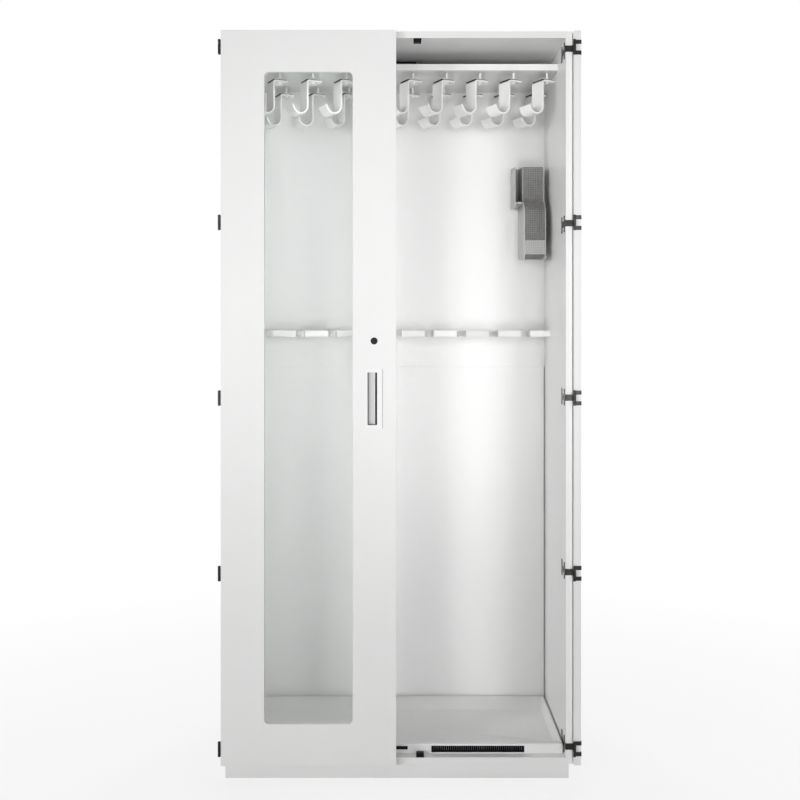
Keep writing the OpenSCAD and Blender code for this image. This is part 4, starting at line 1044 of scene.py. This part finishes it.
class CABINET_OT_screws(bpy.types.Operator):
    """Builds the screws of the hinges, the hooks and the holder"""

    bl_idname = "cabinet.screws"
    bl_label = "Screws"

    def execute(self, context):
        wing, leaf = [], {"left": [], "right": []}
        for i, z in enumerate(HINGE_Z):
            for k, (y, dz) in enumerate(product((WING_NEAR, WING_FAR), (-WING_SCREW_Z, WING_SCREW_Z))):
                for side in (-1, 1):
                    wing.append(seat_of((side * WING_FACE, y, z + dz), (-side, 0, 0),
                                        i * WING_TURNS[0] + k * WING_TURNS[1]))
            for k, (x, dz) in enumerate(product(LEAF_SCREW_X, (-LEAF_SCREW_Z, LEAF_SCREW_Z))):
                for side, place in (("left", left_place), ("right", right_place)):
                    low, high = place(x, BACK_Y, z + dz), place(x, BACK_Y + HINGE_T, z + dz)
                    leaf[side].append(seat_of(high, high - low, i * LEAF_TURNS[0] + k * LEAF_TURNS[1]))
        place_mesh("wing_screws_crossed", copies(cross_screw(HINGE_SCREW, 13 * MM), wing), "screw_steel",
                   "cabinet", ["wing_screws"])
        for side, seats in leaf.items():
            place_mesh(side + "_leaf_screws_crossed", copies(cross_screw(HINGE_SCREW, 14.5 * MM), seats),
                       "screw_steel", side + "_door", [side + "_leaf_screws"])
        under = Matrix.Translation((HOOK_SCREW_U, HOOK_SCREW_W, -HOOK_T))
        seats = [hook_seat(i, y) @ under @ Matrix.Rotation(math.pi, 4, "X")
                 for y in HOOK_ROWS.values() for i in range(HOOK_COUNT)]
        place_mesh("hook_screws_domed", copies(cross_screw(HOOK_SCREW, 43 * MM, 0.95), seats), "hook_white",
                   "cabinet", ["hook_screws"])
        seats = [seat_of(place, (0, -1, 0), turn) for place, turn in HOLDER_SCREW_SEATS]
        place_mesh("holder_screws_domed", copies(cross_screw(HOLDER_SCREW, 14 * MM, 0.8), seats),
                   "screw_steel", "cabinet", ["holder_screws"])
        return {"FINISHED"}


# ---------------------------------------------------------------- instrument holder

HOLDER_LEFT, HOLDER_RIGHT, HOLDER_BACK, SHEET = 394 * MM, 460 * MM, 220 * MM, 2 * MM
HOLDER_LOW, HOLDER_TOP, HOLDER_RAKE = 1507 * MM, 1803 * MM, 14 * MM
LOWER_Y, UPPER_Y, SLOPE_LOW, SLOPE_TOP = 30 * MM, 83 * MM, 1665 * MM, 1700 * MM
HOLDER_FLOOR, LIP_TOP, MESH_BACK = 1524 * MM, 1568 * MM, 4 * MM
POCKET_LEFT, POCKET_LOW, POCKET_FLOOR, POCKET_LIP = 370 * MM, 1671 * MM, 1688 * MM, 5 * MM
WALL_BEND, SLOPE_BEND, POCKET_BEND, MESH_BEND, MESH_T = 9 * MM, 14 * MM, 10 * MM, 10 * MM, 1.2 * MM
STRAP_FRONT, STRAP_BACK, STRAP_HIGH, STRAP_LOW = LOWER_Y + 14 * MM, LOWER_Y + 20 * MM, 1606 * MM, 1583 * MM
STRAP_CORNER, HOLE_SIDES = 2.5 * MM, 8


def upright(x0, x1):
    """Place for a sheet that stands across the cabinet from x0 to x1; its outline is (y, z)."""
    return lambda u, v, w: Vector((x0 + (x1 - x0) * w, u, v))


def along(path, distance):
    """Point of a line at a distance from its start."""
    for first, second in zip(path, path[1:]):
        size = (second - first).length
        if distance <= size:
            return first + (second - first) * (distance / size)
        distance -= size
    return path[-1]


def perforated(bm, width, reach, place, hole, pitch):
    """A sheet full of round holes; place takes (u, v)."""
    columns, rows = int(width / pitch), int(reach / pitch)
    side, end = (width - columns * pitch) / 2, (reach - rows * pitch) / 2
    angles = [k * math.tau / HOLE_SIDES for k in range(HOLE_SIDES)]
    for j, i in product(range(rows), range(columns)):
        u, v = side + (i + 0.5) * pitch, end + (j + 0.5) * pitch
        left, right = (0 if i == 0 else u - pitch / 2), (width if i == columns - 1 else u + pitch / 2)
        low, high = (0 if j == 0 else v - pitch / 2), (reach if j == rows - 1 else v + pitch / 2)
        cell = [(right, v), (right, high), (u, high), (left, high), (left, v), (left, low), (u, low),
                (right, low)]
        outer = [bm.verts.new(place(*point)) for point in cell]
        inner = [bm.verts.new(place(u + hole / 2 * math.cos(a), v + hole / 2 * math.sin(a))) for a in angles]
        for k in range(HOLE_SIDES):
            m = (k + 1) % HOLE_SIDES
            bm.faces.new((outer[k], outer[m], inner[m], inner[k]))
    bmesh.ops.remove_doubles(bm, verts=bm.verts, dist=1e-5)


def perforated_sheet(name, slot, points, replaced):
    """A perforated sheet between the holder's side walls, bent along a line of (y, z) points."""
    details = detail_settings()
    path = bent_path(points, MESH_BEND)
    reach = sum((b - a).length for a, b in zip(path, path[1:]))

    def on_path(u, v):
        point = along(path, v)
        return Vector((HOLDER_LEFT + SHEET + u, point.x, point.y))

    bm = bmesh.new()
    perforated(bm, HOLDER_RIGHT - HOLDER_LEFT - 2 * SHEET, reach, on_path, details.hole, details.hole_pitch)
    solid = place_mesh(name, bm, slot, "cabinet", replaced).modifiers.new("Thickness", "SOLIDIFY")
    solid.thickness, solid.offset = MESH_T, -1


class CABINET_OT_holder(bpy.types.Operator):
    """Builds the instrument holder: folded shell, perforated sheets and side pocket"""

    bl_idname = "cabinet.holder"
    bl_label = "Instrument holder"

    def execute(self, context):
        low, high = HOLDER_LOW + HOLDER_RAKE, HOLDER_TOP + HOLDER_RAKE
        wall = round_corners([
            (HOLDER_BACK, low, 0), (LOWER_Y, HOLDER_LOW, WALL_BEND), (LOWER_Y, SLOPE_LOW, SLOPE_BEND),
            (UPPER_Y, SLOPE_TOP, SLOPE_BEND), (UPPER_Y, HOLDER_TOP, WALL_BEND), (HOLDER_BACK, high, 0)])
        strap = box_outline(STRAP_FRONT, STRAP_LOW, STRAP_BACK, STRAP_HIGH, STRAP_CORNER)
        left, slot, right, back = bmesh.new(), bmesh.new(), bmesh.new(), bmesh.new()
        extrude_outline(left, wall, 0, 1, upright(HOLDER_LEFT, HOLDER_LEFT + SHEET))
        extrude_outline(slot, strap, -1, 2, upright(HOLDER_LEFT, HOLDER_LEFT + SHEET))
        extrude_outline(right, wall, 0, 1, upright(HOLDER_RIGHT - SHEET, HOLDER_RIGHT))
        extrude_outline(back, box_outline(HOLDER_BACK - SHEET, low, HOLDER_BACK, high), 0, 1,
                        upright(HOLDER_LEFT + MM, HOLDER_RIGHT - MM))
        shell = unite(unite(carve(left, slot), right), back)
        place_mesh("holder_shell_folded", shell, "holder_grey", "cabinet", ["holder_shell"], bevel=0.0004)

        lip_y, floor_z = LOWER_Y + 0.2 * MM, HOLDER_FLOOR + 0.5 * MM
        perforated_sheet("holder_lip_perforated", "holder_grey",
                         [(lip_y, HOLDER_FLOOR + MM), (lip_y, LIP_TOP)], [])
        # The floor sheet takes the perforated sheet's dark grey, which also paints the shade on the holder's
        # underside.
        perforated_sheet("holder_floor_perforated", "holder_dark",
                         [(HOLDER_BACK - SHEET, floor_z), (lip_y, floor_z)], [])
        front, upper = LOWER_Y + MESH_BACK, UPPER_Y + MESH_BACK
        perforated_sheet("holder_liner_perforated", "holder_dark",
                         [(front, HOLDER_FLOOR + SHEET), (front, SLOPE_LOW), (upper, SLOPE_TOP),
                          (upper, HOLDER_TOP)], ["holder_liner"])

        pocket, low = bmesh.new(), POCKET_LOW + HOLDER_RAKE
        end = round_corners([(HOLDER_BACK, low, 0), (UPPER_Y, POCKET_LOW, POCKET_BEND),
                             (UPPER_Y, HOLDER_TOP, POCKET_BEND), (HOLDER_BACK, high, 0)])
        extrude_outline(pocket, end, 0, 1, upright(POCKET_LEFT, POCKET_LEFT + SHEET))
        inner, top = UPPER_Y + SHEET, POCKET_FLOOR + SHEET
        floor = [(UPPER_Y, POCKET_FLOOR), (HOLDER_BACK, POCKET_FLOOR), (HOLDER_BACK, top), (inner, top),
                 (inner, POCKET_FLOOR + POCKET_LIP), (UPPER_Y, POCKET_FLOOR + POCKET_LIP)]
        for outline in (floor, box_outline(HOLDER_BACK - SHEET, low, HOLDER_BACK, high)):
            extrude_outline(pocket, outline, 0, 1, upright(POCKET_LEFT + MM, HOLDER_LEFT))
        place_mesh("holder_pocket_folded", pocket, "holder_grey", "cabinet", ["holder_pocket"], bevel=0.0004)
        return {"FINISHED"}


# ---------------------------------------------------------------- drip tray

TRAY_X, TRAY_FRONT, TRAY_BACK, TRAY_TOP, TRAY_SHEET = 477 * MM, -211.5 * MM, 209 * MM, 100 * MM, 3 * MM
TRAY_RIM, WELL_FRONT, WELL_FLOOR = 5 * MM, -190 * MM, 78 * MM
SLOPE_SIDE, SLOPE_BACK, SLOPE_FRONT, TRAY_LIP = 14 * MM, 66 * MM, 52 * MM, 6 * MM
TRAY_FOOT, FOOT_W, FOOT_CORNER = 71 * MM, 24 * MM, 3 * MM
RIM_CORNER, RIM_SOFT, UNDER_STEP, RING_STEPS = 2 * MM, 0.8 * MM, 1.5 * MM, 6
EASED, STRAIGHT, CORNER_START, CORNER_GROWTH = 0.35, 0.65, 3, 9


def tray_ring(x, front, back, corner, z):
    """One level of the tray: a rectangle with rounded corners."""
    points = []
    for cx, cy, start in ((x - corner, back - corner, 0), (-x + corner, back - corner, 90),
                          (-x + corner, front + corner, 180), (x - corner, front + corner, 270)):
        points += [Vector((px, py, z)) for px, py in arc(cx, cy, corner, start, start + 90, RING_STEPS)]
    return points


class CABINET_OT_tray(bpy.types.Operator):
    """Builds the drip tray with its soft slopes and feet"""

    bl_idname = "cabinet.tray"
    bl_label = "Drip tray"

    def execute(self, context):
        steps = detail_settings().tray_steps
        well_x, well_back = TRAY_X - TRAY_RIM, TRAY_BACK - TRAY_RIM
        levels = [(TRAY_X, TRAY_FRONT, TRAY_BACK, RIM_CORNER, TRAY_TOP - TRAY_SHEET),
                  (TRAY_X, TRAY_FRONT, TRAY_BACK, RIM_CORNER, TRAY_TOP - RIM_SOFT),
                  (TRAY_X - RIM_SOFT, TRAY_FRONT + RIM_SOFT, TRAY_BACK - RIM_SOFT, RIM_CORNER, TRAY_TOP)]
        slope = []
        for i in range(steps + 1):
            t = i / steps
            drop = t * t * (3 - 2 * t) * EASED + t * STRAIGHT
            slope.append((well_x - SLOPE_SIDE * t, WELL_FRONT + SLOPE_FRONT * t, well_back - SLOPE_BACK * t,
                          (CORNER_START + CORNER_GROWTH * t) * MM,
                          TRAY_TOP - (TRAY_TOP - WELL_FLOOR) * drop))
        levels += slope
        under = [(x + UNDER_STEP, y0 - UNDER_STEP, y1 + UNDER_STEP, corner, z - TRAY_SHEET)
                 for x, y0, y1, corner, z in slope]
        bm = bmesh.new()
        rings = [[bm.verts.new(p) for p in tray_ring(*level)] for level in levels]
        below = [[bm.verts.new(p) for p in tray_ring(*level)] for level in under]
        for pairs in (zip(rings, rings[1:]), zip(below, below[1:]), [(rings[0], below[0])]):
            for first, second in pairs:
                for i in range(len(first)):
                    j = (i + 1) % len(first)
                    bm.faces.new((first[i], first[j], second[j], second[i]))
        bm.faces.new(rings[-1])
        bm.faces.new(below[-1])
        lip = box_outline(TRAY_FRONT, TRAY_TOP - TRAY_LIP, TRAY_FRONT + TRAY_SHEET,
                          TRAY_TOP - TRAY_SHEET + 0.1 * MM)
        extrude_outline(bm, lip, -TRAY_X, TRAY_X, lambda u, v, w: Vector((w, u, v)))
        foot_x = well_x - SLOPE_SIDE - FOOT_W
        for x, y in product((-foot_x - FOOT_W, foot_x),
                            (WELL_FRONT + SLOPE_FRONT, well_back - SLOPE_BACK - FOOT_W)):
            foot = box_outline(x, y, x + FOOT_W, y + FOOT_W, FOOT_CORNER)
            extrude_outline(bm, foot, TRAY_FOOT, WELL_FLOOR - MM, level)
        place_mesh("drip_tray_moulded", bm, "tray_white", "drip_tray", ["drip_tray"], smooth=40)
        return {"FINISHED"}


# ---------------------------------------------------------------- fan

FAN_Y, GUARD_Z, GUARD_T, WIRE = 90 * MM, 2134.8 * MM, 3 * MM, 1.25 * MM
FAN_SCREW, LUG, LUG_HOLE, LUG_SOFT = 52.4 * MM, 6 * MM, 2.3 * MM, 0.6 * MM
GUARD_RINGS, SPOKE_R = (13, 26, 39, 52), WIRE * 0.8
SPOKE_START, SPOKE_END, SPOKE_SINK = 10 * MM, 69 * MM, 0.4 * MM


class CABINET_OT_fan_guard(bpy.types.Operator):
    """Builds the fan's finger guard from round wire with pressed lugs"""

    bl_idname = "cabinet.fan_guard"
    bl_label = "Fan guard"

    def execute(self, context):
        bm = bmesh.new()
        middle = GUARD_Z + GUARD_T / 2
        for radius in GUARD_RINGS:
            ring_tube(bm, radius * MM - WIRE, WIRE, lambda u, v, w: Vector((u, FAN_Y + v, middle + w)))
        for i in range(4):
            a = math.radians(45 + 90 * i)
            out, side = Vector((math.cos(a), math.sin(a), 0)), Vector((-math.sin(a), math.cos(a), 0))
            base = Vector((0, FAN_Y, middle - SPOKE_SINK))

            def spoke(u, v, w):
                return base + out * w + side * u + Vector((0, 0, v))

            turned(bm, [(0, SPOKE_START), (SPOKE_R, SPOKE_START), (SPOKE_R, SPOKE_END), (0, SPOKE_END)],
                   spoke, 10)
            seat = Vector((math.copysign(FAN_SCREW, out.x), FAN_Y + math.copysign(FAN_SCREW, out.y),
                           GUARD_Z))
            turned(bm, [(LUG_HOLE, 0), (LUG - 0.4 * MM, 0), (LUG, 0.4 * MM), (LUG, GUARD_T - LUG_SOFT),
                        (LUG - LUG_SOFT, GUARD_T), (LUG_HOLE, GUARD_T)],
                   lambda u, v, w: seat + Vector((u, v, w)), 28, closed=True)
        place_mesh("fan_guard_wire", bm, "screw_steel", "cabinet", ["fan_guard"])
        return {"FINISHED"}


# ---------------------------------------------------------------- panel and running order

STEPS = ["stage", "boards", "hooks", "pulls", "lock", "screws", "hinges", "holder", "tray", "fan_guard"]


class CABINET_PT_steps(bpy.types.Panel):
    """Lists the steps that dress the cabinet"""

    bl_label = "Hanging Cabinet"
    bl_idname = "CABINET_PT_steps"
    bl_space_type = "VIEW_3D"
    bl_region_type = "UI"
    bl_category = "Cabinet"

    def draw(self, context):
        column = self.layout.column()
        for step in STEPS:
            column.operator("cabinet." + step)
        for group in (stage_settings(), finish_settings(), detail_settings()):
            box = self.layout.box()
            for key in group.__annotations__:
                box.prop(group, key)


CLASSES = [CabinetStageSettings, CabinetFinishSettings, CabinetDetailSettings, CABINET_OT_stage,
           CABINET_OT_boards, CABINET_OT_hooks, CABINET_OT_pulls, CABINET_OT_lock, CABINET_OT_hinges,
           CABINET_OT_screws, CABINET_OT_holder, CABINET_OT_tray, CABINET_OT_fan_guard, CABINET_PT_steps]
SETTINGS = {"cabinet_stage": CabinetStageSettings, "cabinet_finish": CabinetFinishSettings,
            "cabinet_detail": CabinetDetailSettings}


def register():
    for made in CLASSES:
        bpy.utils.register_class(made)
    for name, kind in SETTINGS.items():
        setattr(bpy.types.Scene, name, PointerProperty(type=kind))


def unregister():
    for name in SETTINGS:
        delattr(bpy.types.Scene, name)
    for made in reversed(CLASSES):
        bpy.utils.unregister_class(made)


def main():
    register()
    for step in STEPS:
        getattr(bpy.ops.cabinet, step)()


if __name__ == "__main__":
    main()
